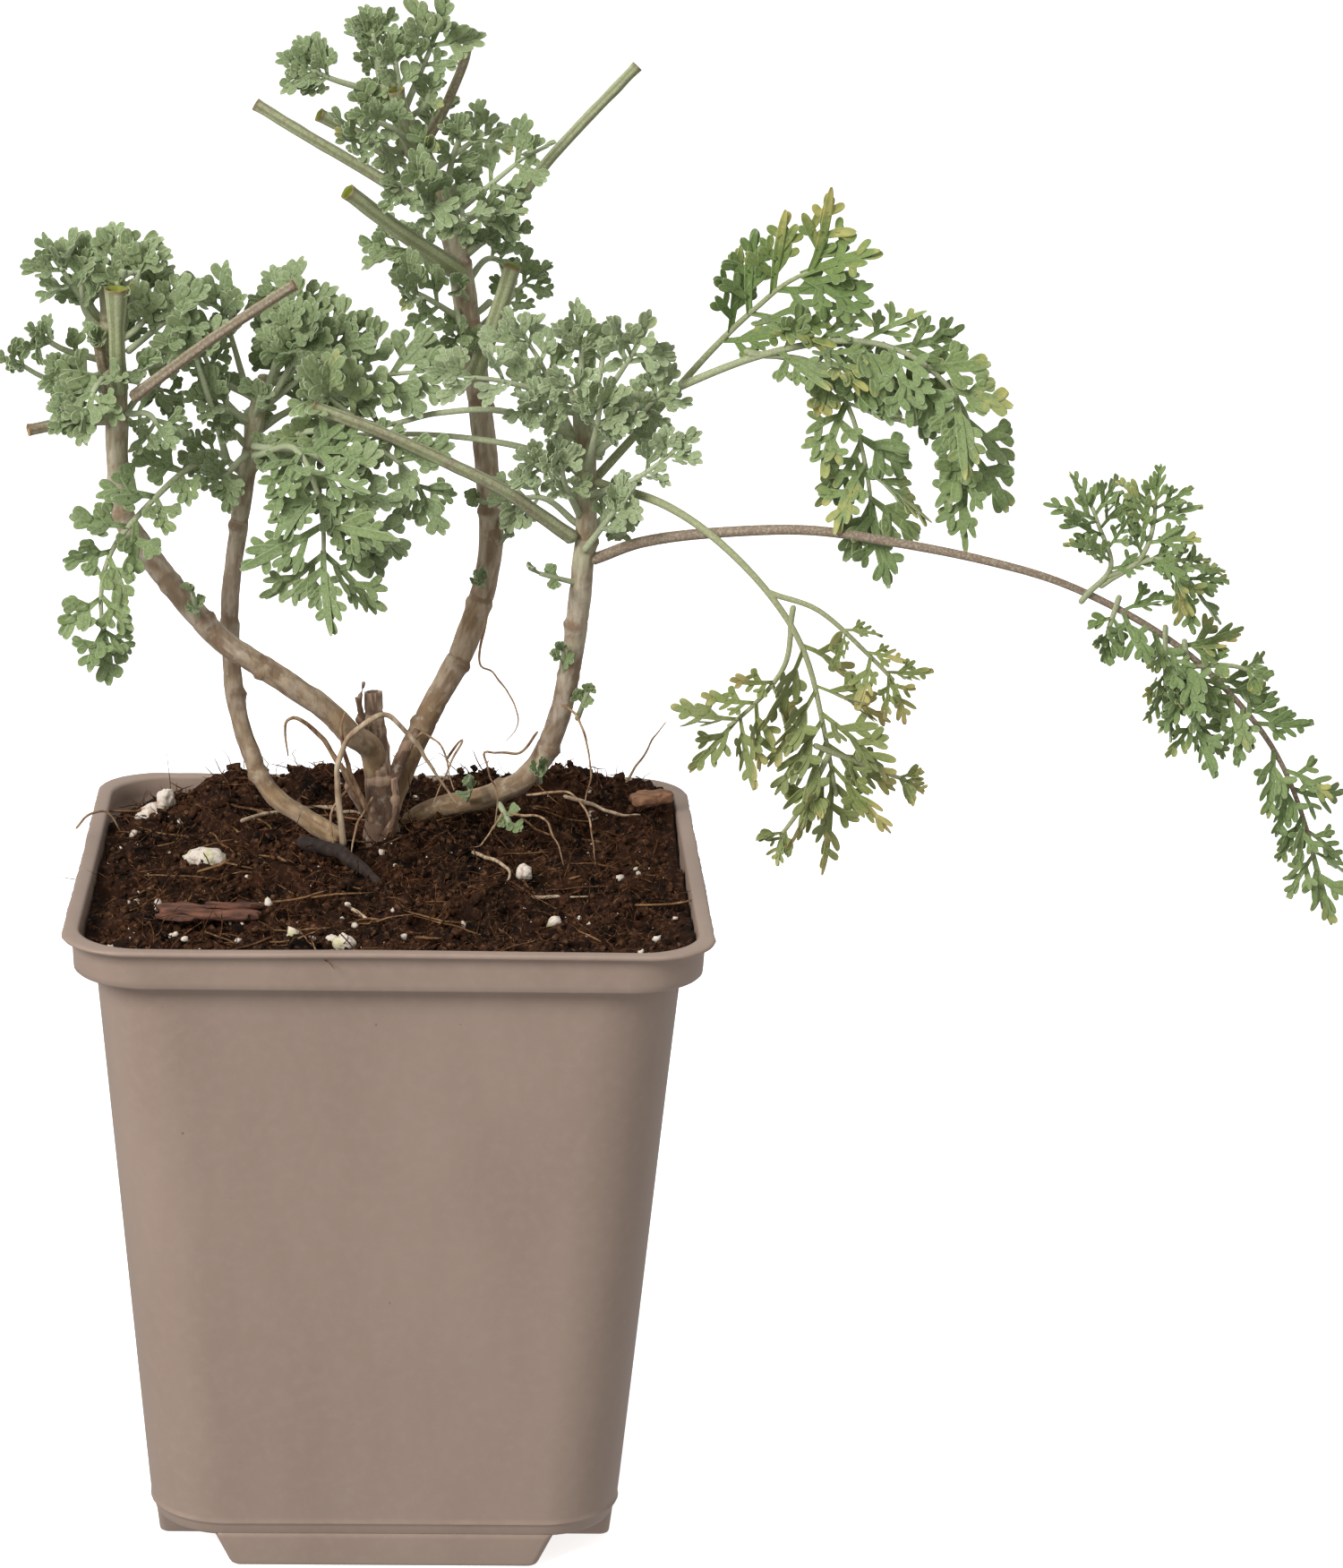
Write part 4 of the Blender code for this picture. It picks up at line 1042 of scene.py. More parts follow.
def addFinger(parts, start, heading, length, wide, foot, plan, draw, level):
    # One lobe: an oval section carried along a slightly bowed line, from a narrow foot to a full rounded end.
    # The section's two edges are raised and its upper side has a groove down the middle.
    look = bladeLook
    share = np.concatenate([np.linspace(0, 0.72, look["rows"] - 3), [0.84, 0.93, 0.985]])
    bow, lift, curl = draw.normal(0, 16), draw.normal(0.06, 0.1), draw.normal(0.0, 0.05)
    angle = np.radians(heading + bow * share)
    step = np.diff(share, prepend=0) * length
    arch = 0.3 if level else 0.1
    rise = lift * share * length + curl * (share * length) ** 2 * arch
    line = np.stack([np.cumsum(np.sin(angle) * step), np.cumsum(np.cos(angle) * step), rise], -1) + start
    swell = np.clip(share / (0.6 if level else 0.75), 0, 1)
    width = foot + (wide - foot) * swell ** 1.6 * (3 - 2 * swell)
    width = width * np.clip(1 - np.clip((share - 0.55) / 0.45, 0, 1) ** (plan["round"] * 1.5), 0, 1) ** 0.5
    thick = look["thick"] * np.clip(1 - share ** 7, 0.1, 1) ** 0.5
    around = np.linspace(0, 2 * math.pi, look["sides"], endpoint=False)[None]
    width, thick = width[:, None], thick[:, None]
    top = np.clip(-np.sin(around), 0, 1) ** 3
    across = width * np.cos(around)
    over = -thick * np.sin(around) * (1 - 0.35 * top) + look["channel"] * width * np.cos(around) ** 2 \
        - look["groove"] * np.sin(around) ** 6 * np.minimum(width, 0.6)
    ahead = np.stack([np.sin(angle), np.cos(angle)], -1)[:, None]
    rings = np.stack([line[:, :1] + across * ahead[..., 1], line[:, 1:2] - across * ahead[..., 0],
                      line[:, 2:] + over], -1)
    surface = closedRings(rings)
    reach = np.hypot(line[:, 0], line[:, 1]) / plan["length"]
    # edge: the lobe's margins and tip, which carry pale felt and a painted rim highlight
    edge = np.maximum(np.abs(np.cos(around)) ** 5, np.clip(share * 6 - 5, 0, 1)[:, None])
    vein, under = np.abs(np.sin(around)) ** 10, (np.sin(around) > 0.05).astype(float)
    values = np.stack(np.broadcast_arrays(edge, vein, reach[:, None], under), -1).reshape(-1, 4)
    parts.append((surface, np.concatenate([values, values[:1], values[-1:]])))
    return line, share


def bladeTemplate(kind, seed):
    # The midrib ends in a lobe and carries ribs on both sides, and each rib may carry a pair of small lobes
    plan = bladeKinds[kind]
    draw = np.random.default_rng(seed)
    parts = []
    wide, foot = plan["wide"], plan["foot"]

    def finger(start, heading, length, wide, foot, level=1):
        return addFinger(parts, start, heading, length, wide, foot, plan, draw, level)
    spine, marks = finger((0.0, 0.0, 0.0), draw.normal(0, 3), plan["length"], wide, plan["stem"], 0)
    for place, reach, angle, pairs in plan["ribs"]:
        for side in (-1, 1):
            here = place + draw.normal(0, 0.02) + 0.03 * side
            start = np.array([np.interp(here, marks, spine[:, k]) for k in range(3)])
            heading = side * angle * draw.uniform(0.88, 1.14)
            length = reach * draw.uniform(0.84, 1.14)
            rib, along = finger(start, heading, length, wide * draw.uniform(0.88, 1.08), foot)
            for turn in (-1, 1) if pairs else ():
                spot = draw.uniform(0.36, 0.52)
                start = np.array([np.interp(spot, along, rib[:, k]) for k in range(3)])
                swing, share = turn * draw.uniform(34, 48), draw.uniform(0.42, 0.56)
                finger(start, heading + swing, length * share, wide * 0.86, foot * 0.8)
    points, quads, tris = joinSurfaces([surface for surface, _ in parts])
    return {"points": points, "quads": quads, "tris": tris, "length": plan["length"],
            "shape": np.concatenate([values for _, values in parts])}


templates = {kind: [bladeTemplate(kind, 300 + 10 * index + k) for k in range(bladeLook["variants"])]
             for index, kind in enumerate(bladeKinds)}
print("blades:", {kind: len(made[0]["quads"]) for kind, made in templates.items()})


class leafPile:
    # Gathers the blades and stalks of one piece, with two sets of values on their points:
    # shape = edge, vein, reach towards the tip, underside; mood = green, dry, chance, stalk
    def __init__(self, seed):
        self.draw = np.random.default_rng(seed)
        self.surfaces, self.shapes, self.moods = [], [], []

    def keep(self, surface, shape, mood):
        self.surfaces.append(surface)
        self.shapes.append(shape)
        self.moods.append(mood)

    def blade(self, kind, base, tip, facing, bend, fold, green, dry):
        # Folded along the midrib, bent along an arc whose chord runs from base to tip, turned to face a way
        draw = self.draw
        blade = templates[kind][draw.integers(0, bladeLook["variants"])]
        base, tip = np.asarray(base, float), np.asarray(tip, float)
        span = np.linalg.norm(tip - base)
        scale = span / blade["length"]
        x, y, z = blade["points"].T
        flipped = draw.random() < 0.5
        x, y = x * min(max(scale, 0.8), 1.2) * (-1 if flipped else 1), y * scale
        wing = np.sqrt(x ** 2 + 0.2) - 0.447
        lumps = np.stack([x, y, np.full_like(x, draw.uniform(0, 50))], -1)
        crinkle = bladeLook["crinkle"] * cloud(lumps, 3.2, 7)
        z = z + wing * math.sin(fold) + crinkle * np.clip(np.hypot(x, y) / 3, 0, 1)
        x = x * math.cos(fold)
        bend = bend if abs(bend) > 0.02 else 0.02
        radius = span / bend
        angle = bend * y / span
        upY = (radius + z) * np.sin(angle)
        upZ = (radius + z) * np.cos(angle) - radius
        c, s = math.cos(bend / 2), math.sin(bend / 2)
        stretch = span / (2 * abs(radius * s))
        along, over = (upY * c - upZ * s) * stretch, upY * s + upZ * c
        ahead = unit(tip - base)
        normal = np.asarray(facing, float)
        normal = unit(normal - (normal @ ahead) * ahead)
        across = np.cross(ahead, normal)
        points = base + x[:, None] * across + along[:, None] * ahead + over[:, None] * normal
        quads = blade["quads"][:, ::-1] if flipped else blade["quads"]
        tris = blade["tris"][:, ::-1] if flipped else blade["tris"]
        mood = np.tile([green, dry, draw.random(), 0.0], (len(points), 1))
        self.keep((points, quads, tris), blade["shape"], mood)

    def stalk(self, route, even, thick, thin, green, dry, facing):
        # A tapering stalk, slightly flat, grooved along the side that the blade faces
        def groove(along, around):
            along, around = np.broadcast_arrays(along, around)
            return -0.16 * thick * np.exp(-((around - math.pi / 2) / 0.5) ** 2)
        radii = np.linspace(thick, thin, len(even))
        tip = ((0.1, 0.7), (0.16, 0.3))
        surface, _ = sweep(route, even, radii, 9, groove, roundStart, tip, facing, 0.85)
        count = len(surface[0])
        self.keep(surface, np.tile([0.15, 0.0, 0.0, 0.0], (count, 1)),
                  np.tile([green, dry, self.draw.random(), 1.0], (count, 1)))

    def piece(self, name, finish, slotName, replaced=()):
        made = addPiece(name, joinSurfaces(self.surfaces), finish, replaced,
                        np.concatenate(self.shapes))
        layer = made.data.attributes.new("mood", "FLOAT_COLOR", "POINT")
        layer.data.foreach_set("color", np.concatenate(self.moods).astype(np.float32).ravel())
        return made


# Leaves: half width, bare share of the stalk, pairs of leaflets, line from the stem to the tip
leafPlan = {
    "left": {
        "leftLeafTop": (4.5, 0.5, 2, [(-39.8, 6.1, 172), (-40, 11, 188)]),
        "leftLeafUpper": (4.0, 0.5, 2, [(-42.5, 3.5, 174.5), (-49.5, -2, 187)]),
        "leftLeafMiddle": (3.0, 0.3, 2, [(-42.3, 2.4, 169), (-47, -0.5, 171), (-52, -3, 175)]),
        "leftLeafLower": (3.0, 0.3, 2, [(-42.3, 2.8, 165), (-49, 0, 166.5), (-56, -3, 171.5)]),
        "leftLeafFront": (5.0, 0.25, 2, [(-40.3, -0.1, 167.5), (-42, -7, 166), (-44, -11, 159)]),
        "leftLeafDrooping": (3.5, 0.25, 2, [(-37, 0.6, 161.5), (-34, -4, 162), (-31.5, -7, 157)]),
        "leftLeafInner": (5.0, 0.3, 2, [(-36.6, 2.6, 171), (-26, 0, 180)]),
    },
    "frontLeft": {
        "frontLeftLeafOuter": (5.0, 0.45, 2, [(-21.6, 9.2, 164.5), (-26.5, 9, 182)]),
        "frontLeftLeafTop": (4.5, 0.4, 3, [(-17.3, 10.8, 165.5), (-13, 13, 182)]),
        "frontLeftLeafInner": (4.5, 0.35, 2, [(-16.6, 6.2, 164.5), (-10, 2, 177)]),
        "frontLeftLeafLong": (5.0, 0.35, 4,
                              [(-16.4, 8.4, 160), (-11, 7.5, 163), (-4.5, 6, 166), (11, 5, 168)]),
        "frontLeftLeafStalked": (5.0, 0.7, 2,
                                 [(-24.3, 6.3, 155), (-25.5, 4.5, 160), (-28, 1.5, 169), (-30, -2, 177)]),
        "frontLeftLeafHanging": (7.0, 0.3, 5,
                                 [(-19.3, 4.6, 155), (-14, -3, 157.5), (-10.5, -7, 151), (-10, -9, 142),
                                  (-13, -11, 133)]),
        "frontLeftLeafSide": (5.0, 0.25, 6, [(-23.2, 5.6, 151.5), (-28, 2.5, 154), (-35, -4, 149),
                                             (-40, -7, 142.5), (-41, -9, 134.5), (-38.5, -11, 125)]),
    },
    "top": {
        "topLeafLeft": (4.0, 0.5, 3, [(-4.3, 16.6, 205.5), (-10, 14, 207.5), (-17, 12.5, 211)]),
        "topLeafBack": (3.5, 0.4, 2, [(-2.6, 20.8, 205.5), (-4.5, 23.5, 217.5)]),
        "topLeafRight": (5.0, 0.4, 2, [(1.6, 15.9, 204.5), (7.5, 14, 219)]),
        "topLeafLeftLow": (4.0, 0.3, 2, [(-0.4, 15.6, 197), (-5, 10, 199), (-9.5, 6, 197.5)]),
        "topLeafBackRight": (4.0, 0.35, 2, [(6.2, 20.6, 194.5), (16, 26, 201)]),
        "topLeafRightLow": (4.5, 0.4, 2, [(9.2, 15.6, 189), (22, 11, 200.5)]),
        "topLeafFront": (5.0, 0.3, 2, [(6, 15, 189), (3.5, 8.5, 191.5), (1.5, 5, 195.5)]),
        "centreLeafLeft": (4.0, 0.3, 2, [(6.9, 20.3, 179), (0, 22, 182), (-6, 21, 181.5)]),
        "centreLeafFront": (4.5, 0.3, 2, [(8.4, 15.5, 173.5), (2, 9.5, 178), (-3.5, 7.5, 178)]),
        "centreLeafRight": (3.5, 0.35, 2, [(13.2, 20.2, 172), (22, 26, 180)]),
    },
    "right": {
        "rightLeafBack": (4.5, 0.4, 3, [(24.4, 6.8, 160), (20, 9.5, 169), (14.5, 10.5, 175)]),
        "rightLeafTop": (4.5, 0.5, 2, [(26.5, 8, 163.5), (26.5, 10, 177.5)]),
        "rightLeafUpper": (5.0, 0.5, 2, [(29.2, 3.6, 163.5), (37, -1, 177)]),
        "rightLeafOuter": (4.0, 0.5, 2, [(29.8, 4.2, 156.8), (33, 3, 160), (41, 1, 169)]),
        "rightLeafFolded": (3.5, 0.5, 2, [(27.6, 2.1, 155), (28.5, -1.5, 161), (29.5, -4, 169)]),
        "rightLeafLow": (4.0, 0.52, 2, [(28.6, 2.2, 150.5), (34, -2, 153.5), (43, -5, 161)]),
        "rightLeafLeft": (4.5, 0.3, 3, [(24.2, 3.6, 163.8), (14, -2, 167.5), (4, -5.5, 168.5)]),
        "rightLeafLongLeft": (6.0, 0.76, 3,
                              [(24.3, 5.8, 154.5), (16, 6.5, 156.6), (5, 8, 157.5), (-8, 6, 157.8),
                               (-16, 0, 160)]),
        "rightLeafHighLeft": (5.5, 0.6, 3,
                              [(24.2, 4.2, 158.8), (15, 3.5, 162), (6, 3.2, 161.6), (-2, 2.5, 160),
                               (-8, 1, 163), (-14, -3.5, 170)]),
    },
    "tall": {"rightLeafTall": (11.0, 0.5, 4, [(30, 7, 153), (38, 8, 162), (45, 7, 170.5), (51, 5, 177),
                                              (57, 3, 182), (69, -2, 187)])},
    "arching": {"rightLeafArching": (8.5, 0.4, 8, [(29.7, 5.2, 160), (40.5, 3, 166), (51.5, 0.5, 171),
                                                   (63, -1, 173.5), (72, -3, 172), (79, -5, 166),
                                                   (81, -7, 158.5), (78, -9, 148)])},
    "withered": {"rightLeafWithered": (10.0, 0.58, 5, [(30, 3.2, 151.5), (38, -2, 150), (45.5, -7, 146),
                                                       (53, -11, 139), (58, -13, 131), (61, -15, 120),
                                                       (64.5, -17, 103)])},
    "trailing": {"rightLeafTrailing": (7.5, 0.6, 11, [(29.7, 4.3, 140.8), (35.5, 0, 144), (44.5, -5, 146.5),
                                                      (58, -9, 148), (70.5, -12, 147), (83, -14, 145),
                                                      (94, -15, 142), (105.5, -16, 136.5), (114.5, -17, 130),
                                                      (123.5, -18, 120), (129, -19, 108.5),
                                                      (132.5, -20, 95)])},
}
# Side branches of the named leaves, and smaller leaves of a shoot that have no solid of their own
branchPlan = {
    "arching": [(6.5, 0.3, 5, [(51, 2, 171), (60, 0, 170), (70, -1, 168), (79, -2, 161)]),
                (8.0, 0.3, 5, [(51.5, 0.5, 171), (59, 0, 170), (64, -3, 164), (67, -7, 152), (66, -9, 142)])],
    "withered": [(7.0, 0.4, 3, [(56, -12, 136), (55, -13, 129), (49, -14, 122), (41, -15, 117)]),
                 (5.0, 0.45, 3, [(54, -11, 139), (60, -12, 137), (67, -13, 131), (74, -14, 124)]),
                 (3.5, 0.3, 2, [(61, -16, 118), (68, -15, 115), (76, -14, 112)]),
                 (3.5, 0.3, 2, [(61, -16, 116), (58, -17, 110), (53, -18, 103)])],
    "trailing": [(6.5, 0.3, 4, [(97, -16, 141), (100, -16, 145), (98, -14, 151), (95, -12, 159)]),
                 (6.0, 0.3, 4, [(100, -16, 143), (104, -16, 146), (106, -14, 151), (106, -12, 160)]),
                 (6.0, 0.35, 4, [(101, -16, 144), (107, -16, 146), (112, -16, 142), (116, -17, 138)]),
                 (6.0, 0.25, 3, [(111, -17, 133), (112, -19, 126), (113, -22, 117)]),
                 (5.0, 0.25, 3, [(108, -17, 135), (108, -19, 129), (108, -21, 122)]),
                 (3.0, 0.3, 2, [(101, -16, 139), (100, -17, 136), (99, -19, 132)]),
                 (3.0, 0.3, 2, [(113, -17, 131), (118, -17, 131), (123, -16, 129)])],
    "left": [(3.5, 0.4, 2, [(-41.5, 1, 167), (-44, -2, 167), (-50, -6, 167)]),
             (3.5, 0.4, 2, [(-40.5, -0.5, 163), (-43, -7, 163.5), (-48, -11, 161)]),
             (4.0, 0.35, 2, [(-39, 6, 172), (-37, 9, 176), (-31, 11, 181)]),
             (3.5, 0.35, 2, [(-38.5, 4.5, 173), (-37, 5, 178), (-35, 5, 186)]),
             (3.5, 0.4, 2, [(-41.5, 3, 173), (-44, 2, 177), (-44, 1, 187)])],
    "frontLeft": [(4.5, 0.4, 3, [(-18, 7, 162), (-12, 7, 167), (-3, 8, 175)]),
                  (3.5, 0.4, 2, [(-22, 7, 160), (-25, 5, 162), (-30, 3, 164)]),
                  (3.5, 0.4, 2, [(-18, 6, 165), (-16, 5, 171), (-13, 4, 178)]),
                  (3.5, 0.4, 2, [(-22, 6, 154), (-25, 3, 152), (-28, 1, 155)]),
                  (5.5, 0.35, 4, [(-19, 5, 156), (-11, -1, 156), (-5, -5, 149), (-3, -6, 139)]),
                  (4.5, 0.5, 3, [(-18, 6, 157), (-8, 2, 159), (2, -1, 154), (6, -4, 145)])],
    "top": [(3.0, 0.4, 2, [(2, 15, 198), (-1, 11, 201), (-7, 8, 203)]),
            (3.0, 0.4, 2, [(7, 17, 192), (8, 14, 197), (10, 11, 203)]),
            (3.5, 0.4, 2, [(9.5, 15.5, 187), (13, 12, 189), (19, 9, 189)]),
            (3.5, 0.4, 2, [(8, 15, 190), (9, 9, 190), (10, 4, 185)]),
            (3.5, 0.4, 2, [(11, 17, 183), (14, 15, 185), (20, 14, 186)]),
            (3.0, 0.4, 2, [(12.5, 19, 174), (10, 17, 172), (7, 15, 167)]),
            (3.0, 0.4, 2, [(3, 14.5, 193), (1, 10, 193), (-1, 6, 189)]),
            (3.0, 0.4, 2, [(1, 15.5, 203), (0, 14, 207), (-1, 13, 214)])],
    "right": [(4.0, 0.35, 2, [(25.5, 3, 162), (20, -1, 163), (15, -4, 163)]),
              (3.5, 0.35, 2, [(25.5, 4, 150), (21, 1, 154), (16, -1, 156)]),
              (3.5, 0.35, 2, [(28, 3, 143), (31, 0, 148), (34, -4, 153)]),
              (3.5, 0.35, 2, [(26, 3, 148), (24, -1, 153), (23, -3, 160)]),
              (3.5, 0.35, 2, [(28.5, 3, 160), (31, -1, 162), (36, -4, 163)]),
              (3.5, 0.35, 2, [(26, 3, 161), (25, -2, 165), (23, -5, 171)])],
}
leafDefaults = {"green": 0.0, "dry": 0.0, "style": "hand", "thick": 0.55, "stalkDry": 0.0, "plump": 1.25,
                "droop": 0.0,
                "rooted": 1.4}
# facing: the way the upper side looks; green and dry run from 0 to 1; plump: leaflet length over half width
leafLook = {
    "left": {"facing": (-0.15, -0.8, 0.6), "fold": (0.3, 0.7), "plump": 1.62},
    "frontLeft": {"facing": (-0.1, -0.85, 0.5), "fold": (0.2, 0.6), "plump": 1.7},
    "top": {"facing": (0.0, -0.85, 0.5), "fold": (0.3, 0.8), "plump": 1.55},
    "right": {"facing": (0.05, -0.85, 0.5), "fold": (0.3, 0.8), "green": 0.05, "plump": 1.55},
    "tall": {"facing": (0.1, -0.8, 0.6), "fold": (0.1, 0.35), "green": 0.95, "dry": 0.38, "thick": 0.7},
    "arching": {"facing": (0.1, -0.8, 0.6), "fold": (0.1, 0.35), "green": 0.6, "dry": 0.25, "thick": 0.7,
                "droop": 0.45},
    "withered": {"facing": (0.0, -0.8, 0.5), "fold": (0.4, 1.0), "green": 0.75, "dry": 0.46, "thick": 0.7,
                 "droop": 0.5,
                 "style": "comb", "stalkDry": 0.1},
    "trailing": {"facing": (0.1, -0.85, 0.5), "fold": (0.3, 0.7), "green": 0.65, "dry": 0.3, "thick": 0.9,
                 "droop": 0.25,
                 "style": "comb", "stalkDry": 0.9},
}
greenLeaves = {"frontLeftLeafHanging": 0.35, "frontLeftLeafSide": 0.4, "rightLeafLongLeft": 0.5,
               "rightLeafHighLeft": 0.4, "rightLeafFolded": 0.15}
shootPlan = {   # axis from low to high, number of young leaves and how far they reach
    "left": ((-39, 3, 160), (-40, 3, 177), 8, (8, 13)),
    "frontLeft": ((-22, 9, 150), (-19.5, 8, 165), 11, (9, 15)),
    "top": ((10, 18, 177), (-1, 18, 205), 12, (8, 13)),
    "right": ((27, 5.5, 142), (26.5, 5, 164), 9, (9, 14)),
}
sproutPlan = [   # buds that break from old bark: foot and tip
    ((24.8, 7, 123.6), (24.3, 4, 129.3)), ((27.3, 9, 116.4), (28.9, 6, 122.3)),
    ((21.6, 12, 105.6), (21.2, 9, 110)), ((11.2, 12, 102.7), (12, 9, 106.3)),
    ((16.3, 10, 101), (18.4, 6, 98.5)), ((25.8, 5, 136.8), (18.6, 2, 139.4)),
    ((15.6, 17, 139.9), (18.5, 15, 145)), ((13.1, 16, 133.4), (11.3, 14, 136.5)),
    ((12.9, 16, 146), (9.6, 14, 147.5)), ((9.9, 16, 176.3), (7.3, 12, 180.8)),
    ((8.9, 15, 173.2), (10, 12, 169.2)), ((-27.8, 0, 132), (-28.9, -3, 138.7)),
]


def leafMaterial(name, silver, felt, fresh, yellow, brown):
    # Green under pale felt, which is thick on young leaves, on ribs and underneath; the pale margins are
    # partly felt and partly a painted rim highlight.
    # Old leaves are bare and green, and dry ones turn yellow and then brown from their tips
    paint = finishGraph(name, 0.6)
    edge, vein, reach, under = paint.carried("shape")
    green, dry, chance, onStalk = paint.carried("mood")
    blotch = paint.noise(2.6, 3.0)
    speck = paint.noise(0.32, 4.0)
    tone = paint.mixed(green, silver, fresh)
    tone = paint.mixed(paint.spread(chance, 0.2, 1.0, 0.0, 0.5), tone,
                 paint.mixed(green, linear(142, 156, 104), linear(128, 144, 66)))
    tone = paint.mixed(paint.spread(blotch, 0.4, 0.7, 0.0, 0.35), tone, linear(78, 96, 52))
    hairs = paint.sums("MULTIPLY", paint.spread(speck, 0.4, 0.7),
                 paint.spread(green, 0.1, 1.0, 0.32, 0.1))
    tone = paint.mixed(hairs, tone, felt)
    # pale margins: partly thicker felt, partly a painted rim highlight along the lobe edges
    rim = paint.sums("MULTIPLY", paint.spread(edge, 0.45, 1.0),
               paint.spread(green, 0.0, 1.0, 0.7, 0.45))
    tone = paint.mixed(rim, tone, felt)
    tone = paint.mixed(paint.spread(vein, 0.6, 1.0, 0.0, 0.15), tone, felt)
    tone = paint.mixed(paint.spread(under, 0.5, 1.0, 0.0, 0.45), tone, felt)
    ageing = paint.sums("ADD", reach, paint.spread(blotch, 0.3, 0.7, -0.35, 0.35))
    ageing = paint.sums("ADD", ageing, paint.spread(chance, 0.0, 1.0, -0.4, 0.25))
    ageing = paint.sums("ADD", ageing, paint.spread(dry, 0.0, 1.0, -1.0, 0.6))
    tone = paint.mixed(paint.spread(ageing, 0.3, 0.75, 0.0, 0.8), tone, yellow)
    tone = paint.mixed(paint.spread(ageing, 0.85, 1.1), tone, brown)
    stalk = paint.mixed(green, linear(168, 176, 140), linear(146, 150, 108))
    stalk = paint.mixed(paint.spread(dry, 0.4, 0.9), stalk, linear(134, 112, 96))
    stalk = paint.mixed(paint.spread(speck, 0.45, 0.75, 0.0, 0.5), stalk, felt)
    tone = paint.mixed(onStalk, tone, stalk)
    paint.put("Base Color", tone)
    paint.put("Specular IOR Level", 0.3)
    paint.put("Sheen Weight", 0.18)
    paint.put("Sheen Roughness", 0.45)
    paint.bumped(speck, 0.45, 0.07)
    return paint.made


def bladeKind(style, span):
    # The lobes of every kind are of one width, so a longer leaflet is another kind, not a bigger one
    if style == "comb":
        return "plume" if span > 11.5 else "comb" if span > 4.2 else "fork"
    return "feather" if span > 9.5 else "hand" if span > 4.6 else "fork"


def growLeaf(pile, row, look, green=None, branch=False):
    # Leaflets leave the midrib in pairs past its bare part, longest in the middle, and one stands at its tip
    half, bare, pairs, points = row
    draw, look = pile.draw, {**leafDefaults, **look}
    green = look["green"] if green is None else green
    dry, leaflet = look["dry"], look["plump"] * half
    thick, stalkDry = (0.45, 0.0) if branch else (look["thick"], look["stalkDry"])
    facing = np.array(look["facing"]) + draw.normal(0, 0.12, 3)
    rooted = np.array(points[0]) - unit(np.subtract(points[1], points[0])) * look["rooted"]
    route, even = smoothRoute([tuple(rooted)] + list(points), 0.5)
    length = even[-1]
    last = 1 - min(0.5, leaflet / length)
    kept = even <= max(last + 0.06, bare + 0.06) * length
    pile.stalk(route[kept], even[kept], thick, max(0.3, thick - 0.012 * length), green, stalkDry, facing)
    ahead = unit(np.gradient(route, axis=0))

    def addLeaflet(share, heading, reach, lift):
        spot = int(round(share * (len(route) - 1)))
        normal = unit(facing - (facing @ ahead[spot]) * ahead[spot])
        across = np.cross(ahead[spot], normal)
        way = unit(ahead[spot] * math.cos(heading) + across * math.sin(heading) + normal * lift)
        tip = route[spot] + way * reach - np.array((0, 0, look["droop"] * reach * 0.5))
        turned = facing + draw.normal(0, 0.25, 3) - way * 0.2
        bend, fold = draw.normal(0.3, 0.3), draw.uniform(*look["fold"])
        pile.blade(bladeKind(look["style"], reach), route[spot], tip, turned, bend, fold,
                   green + draw.normal(0, 0.06), dry + draw.normal(0, 0.1))
    for index in range(pairs):
        share = bare + (last - bare) * index / max(1, pairs - 1)
        along = (share - bare) / (1 - bare)
        swell = math.sin(math.pi * min(1.0, 0.32 + 0.6 * along)) ** 0.7
        for side in (-1, 1):
            heading = side * math.radians(draw.uniform(50, 62) - 16 * along)
            place = np.clip(share + draw.normal(0, 0.012), 0, 1)
            reach = leaflet * swell * draw.uniform(0.84, 1.14)
            addLeaflet(place, heading, reach, draw.normal(0.12, 0.2))
    addLeaflet(last, draw.normal(0, 0.06), (1 - last) * length, draw.normal(0, 0.05))


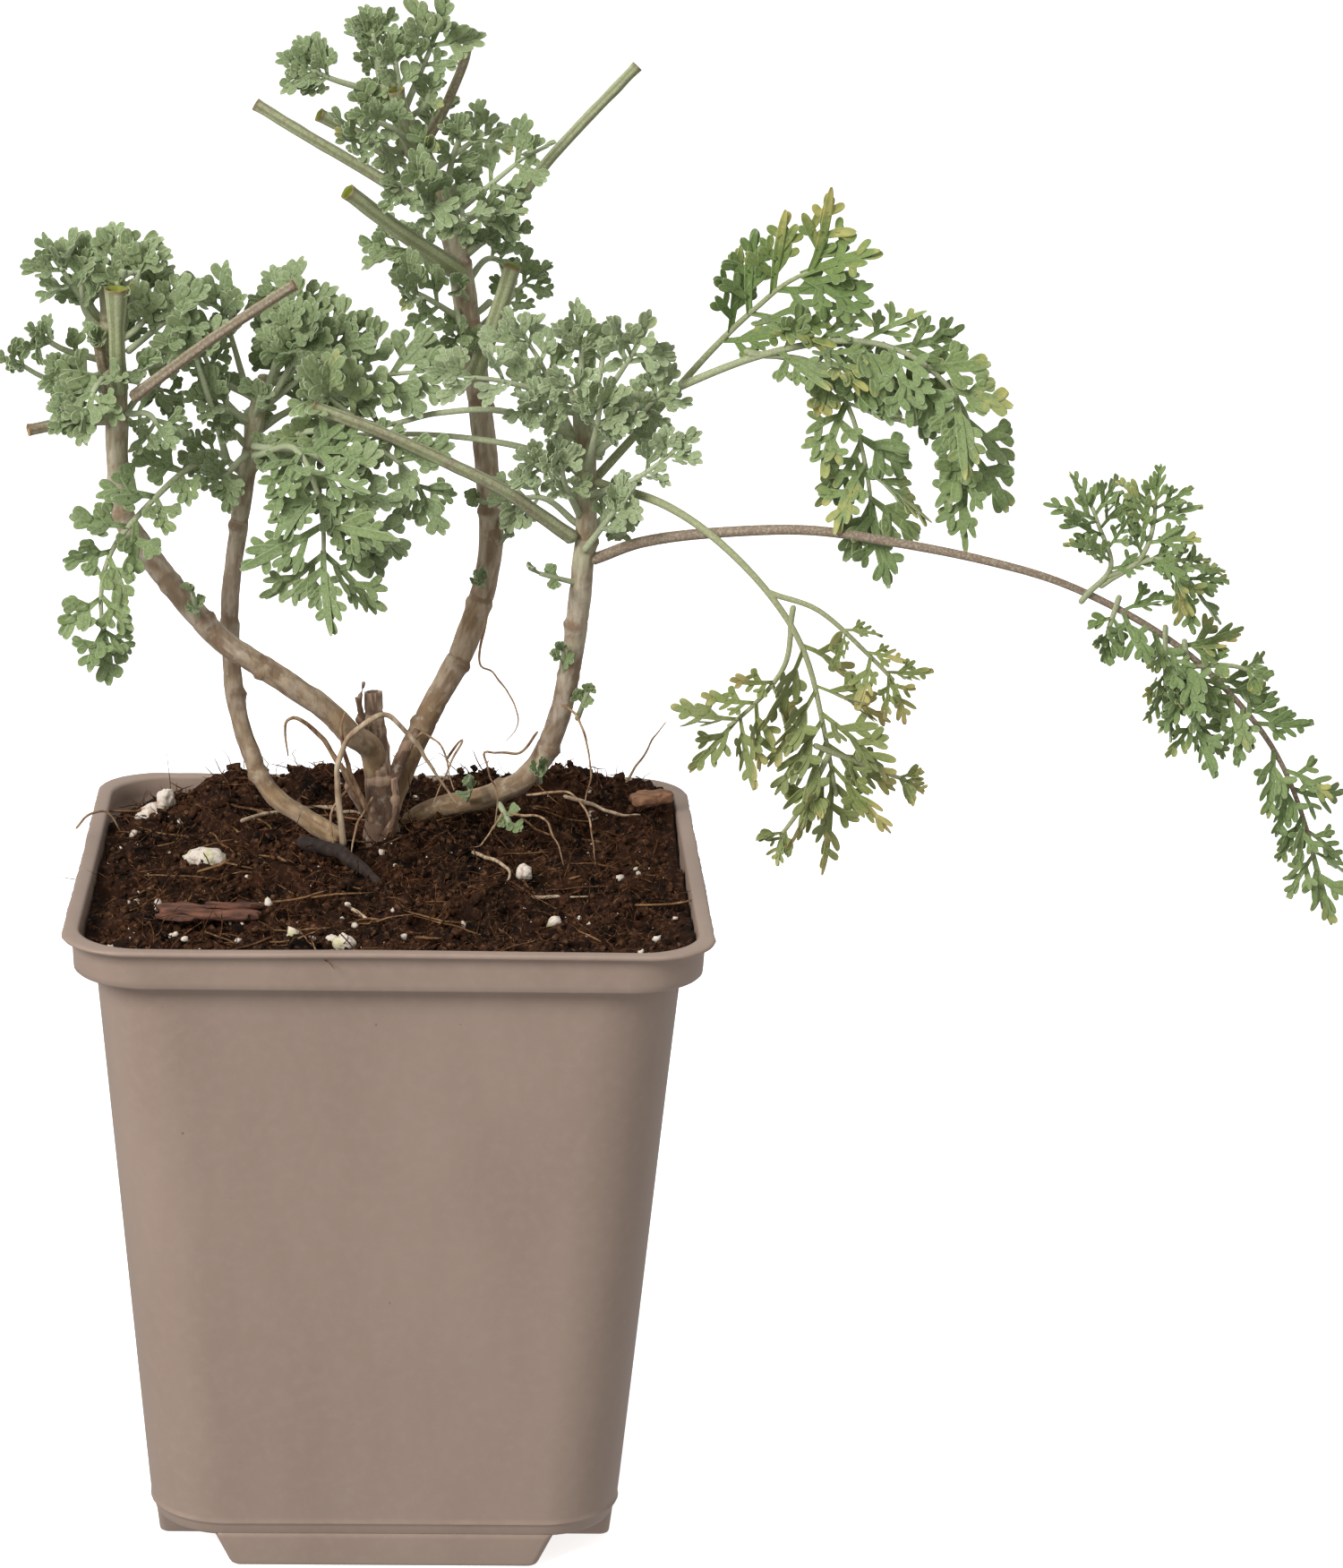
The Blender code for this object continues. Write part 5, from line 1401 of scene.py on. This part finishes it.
def youngRows(shoot, draw):
    # Young leaves stand in a spiral of 137.5 degrees, drooping at the shoot's foot and upright at its head
    low, high, count, (short, long) = shoot
    rows = []
    for index in range(count):
        share = (index + 0.5) / count
        turn = math.radians(137.5 * index + 40)
        foot = np.array(low) + (np.array(high) - low) * share
        out = np.array((math.cos(turn), math.sin(turn), 0))
        reach = draw.uniform(short, long) * (0.75 if out[1] < -0.6 else 1.0)
        climb = -0.1 + 1.5 * share ** 1.5
        knee = foot + out * reach * 0.45 + (0, 0, 0.25 * reach)
        tip = foot + unit(out + np.array((0, 0, climb))) * reach + (0, 0, 0.12 * reach)
        rows.append((0.27 * reach, 0.5, 2, [tuple(foot + out * 1.2), tuple(knee), tuple(tip)]))
    return rows


def buildLeaves(plan):
    pale = leafMaterial("paleFeltedLeaf", linear(146, 162, 116), linear(214, 220, 192), linear(122, 146, 76),
                        linear(192, 184, 108), linear(176, 142, 104))
    finish = leafMaterial("feltedLeaf", linear(122, 141, 90), linear(202, 210, 178), linear(104, 130, 60),
                          linear(192, 184, 108), linear(176, 142, 104))
    old = leafMaterial("witheredLeaf", linear(122, 132, 80), linear(206, 200, 160), linear(120, 134, 70),
                       linear(190, 176, 112), linear(184, 156, 116))
    finishes = {"withered": old, "right": pale}
    for place, (group, leaves) in enumerate(plan.items()):
        look = leafLook[group]
        seed = 400 + 40 * place
        for index, (name, row) in enumerate(leaves.items()):
            pile = leafPile(seed + index)
            growLeaf(pile, row, look, greenLeaves.get(name))
            if group not in shootPlan:   # the far leaves carry their own side branches
                for branch in branchPlan.get(group, ()):
                    growLeaf(pile, branch, look, None, True)
            node = re.sub("([A-Z])", r"_\1", name).lower()
            slotName = "withered_leaf" if group == "withered" else "leaf"
            pile.piece(name, finishes.get(group, finish), slotName, [node])
        if group in shootPlan:
            young = leafPile(seed + 30)
            for row in branchPlan[group] + youngRows(shootPlan[group], young.draw):
                growLeaf(young, row, look)
            young.piece(group + "ShootYoungLeaves", finishes.get(group, finish), "leaf")
        print("leaves of the", group, "group built")
    sprouts = leafPile(900)
    for foot, tip in sproutPlan:
        middle = (np.array(foot) + tip) / 2
        row = (1.7, 0.4, 1, [foot, tuple(middle + (0, -0.4, 0)), tip])
        growLeaf(sprouts, row, leafLook["left"], 0.25, True)
    sprouts.piece("barkSprouts", finish, "leaf")


buildStems(stemPlan)
buildCrown(crownPlan)
buildStalks(stalkPlan)
buildLitter(litterPlan)
print("stems, stalks and litter built")
buildLeaves(leafPlan)
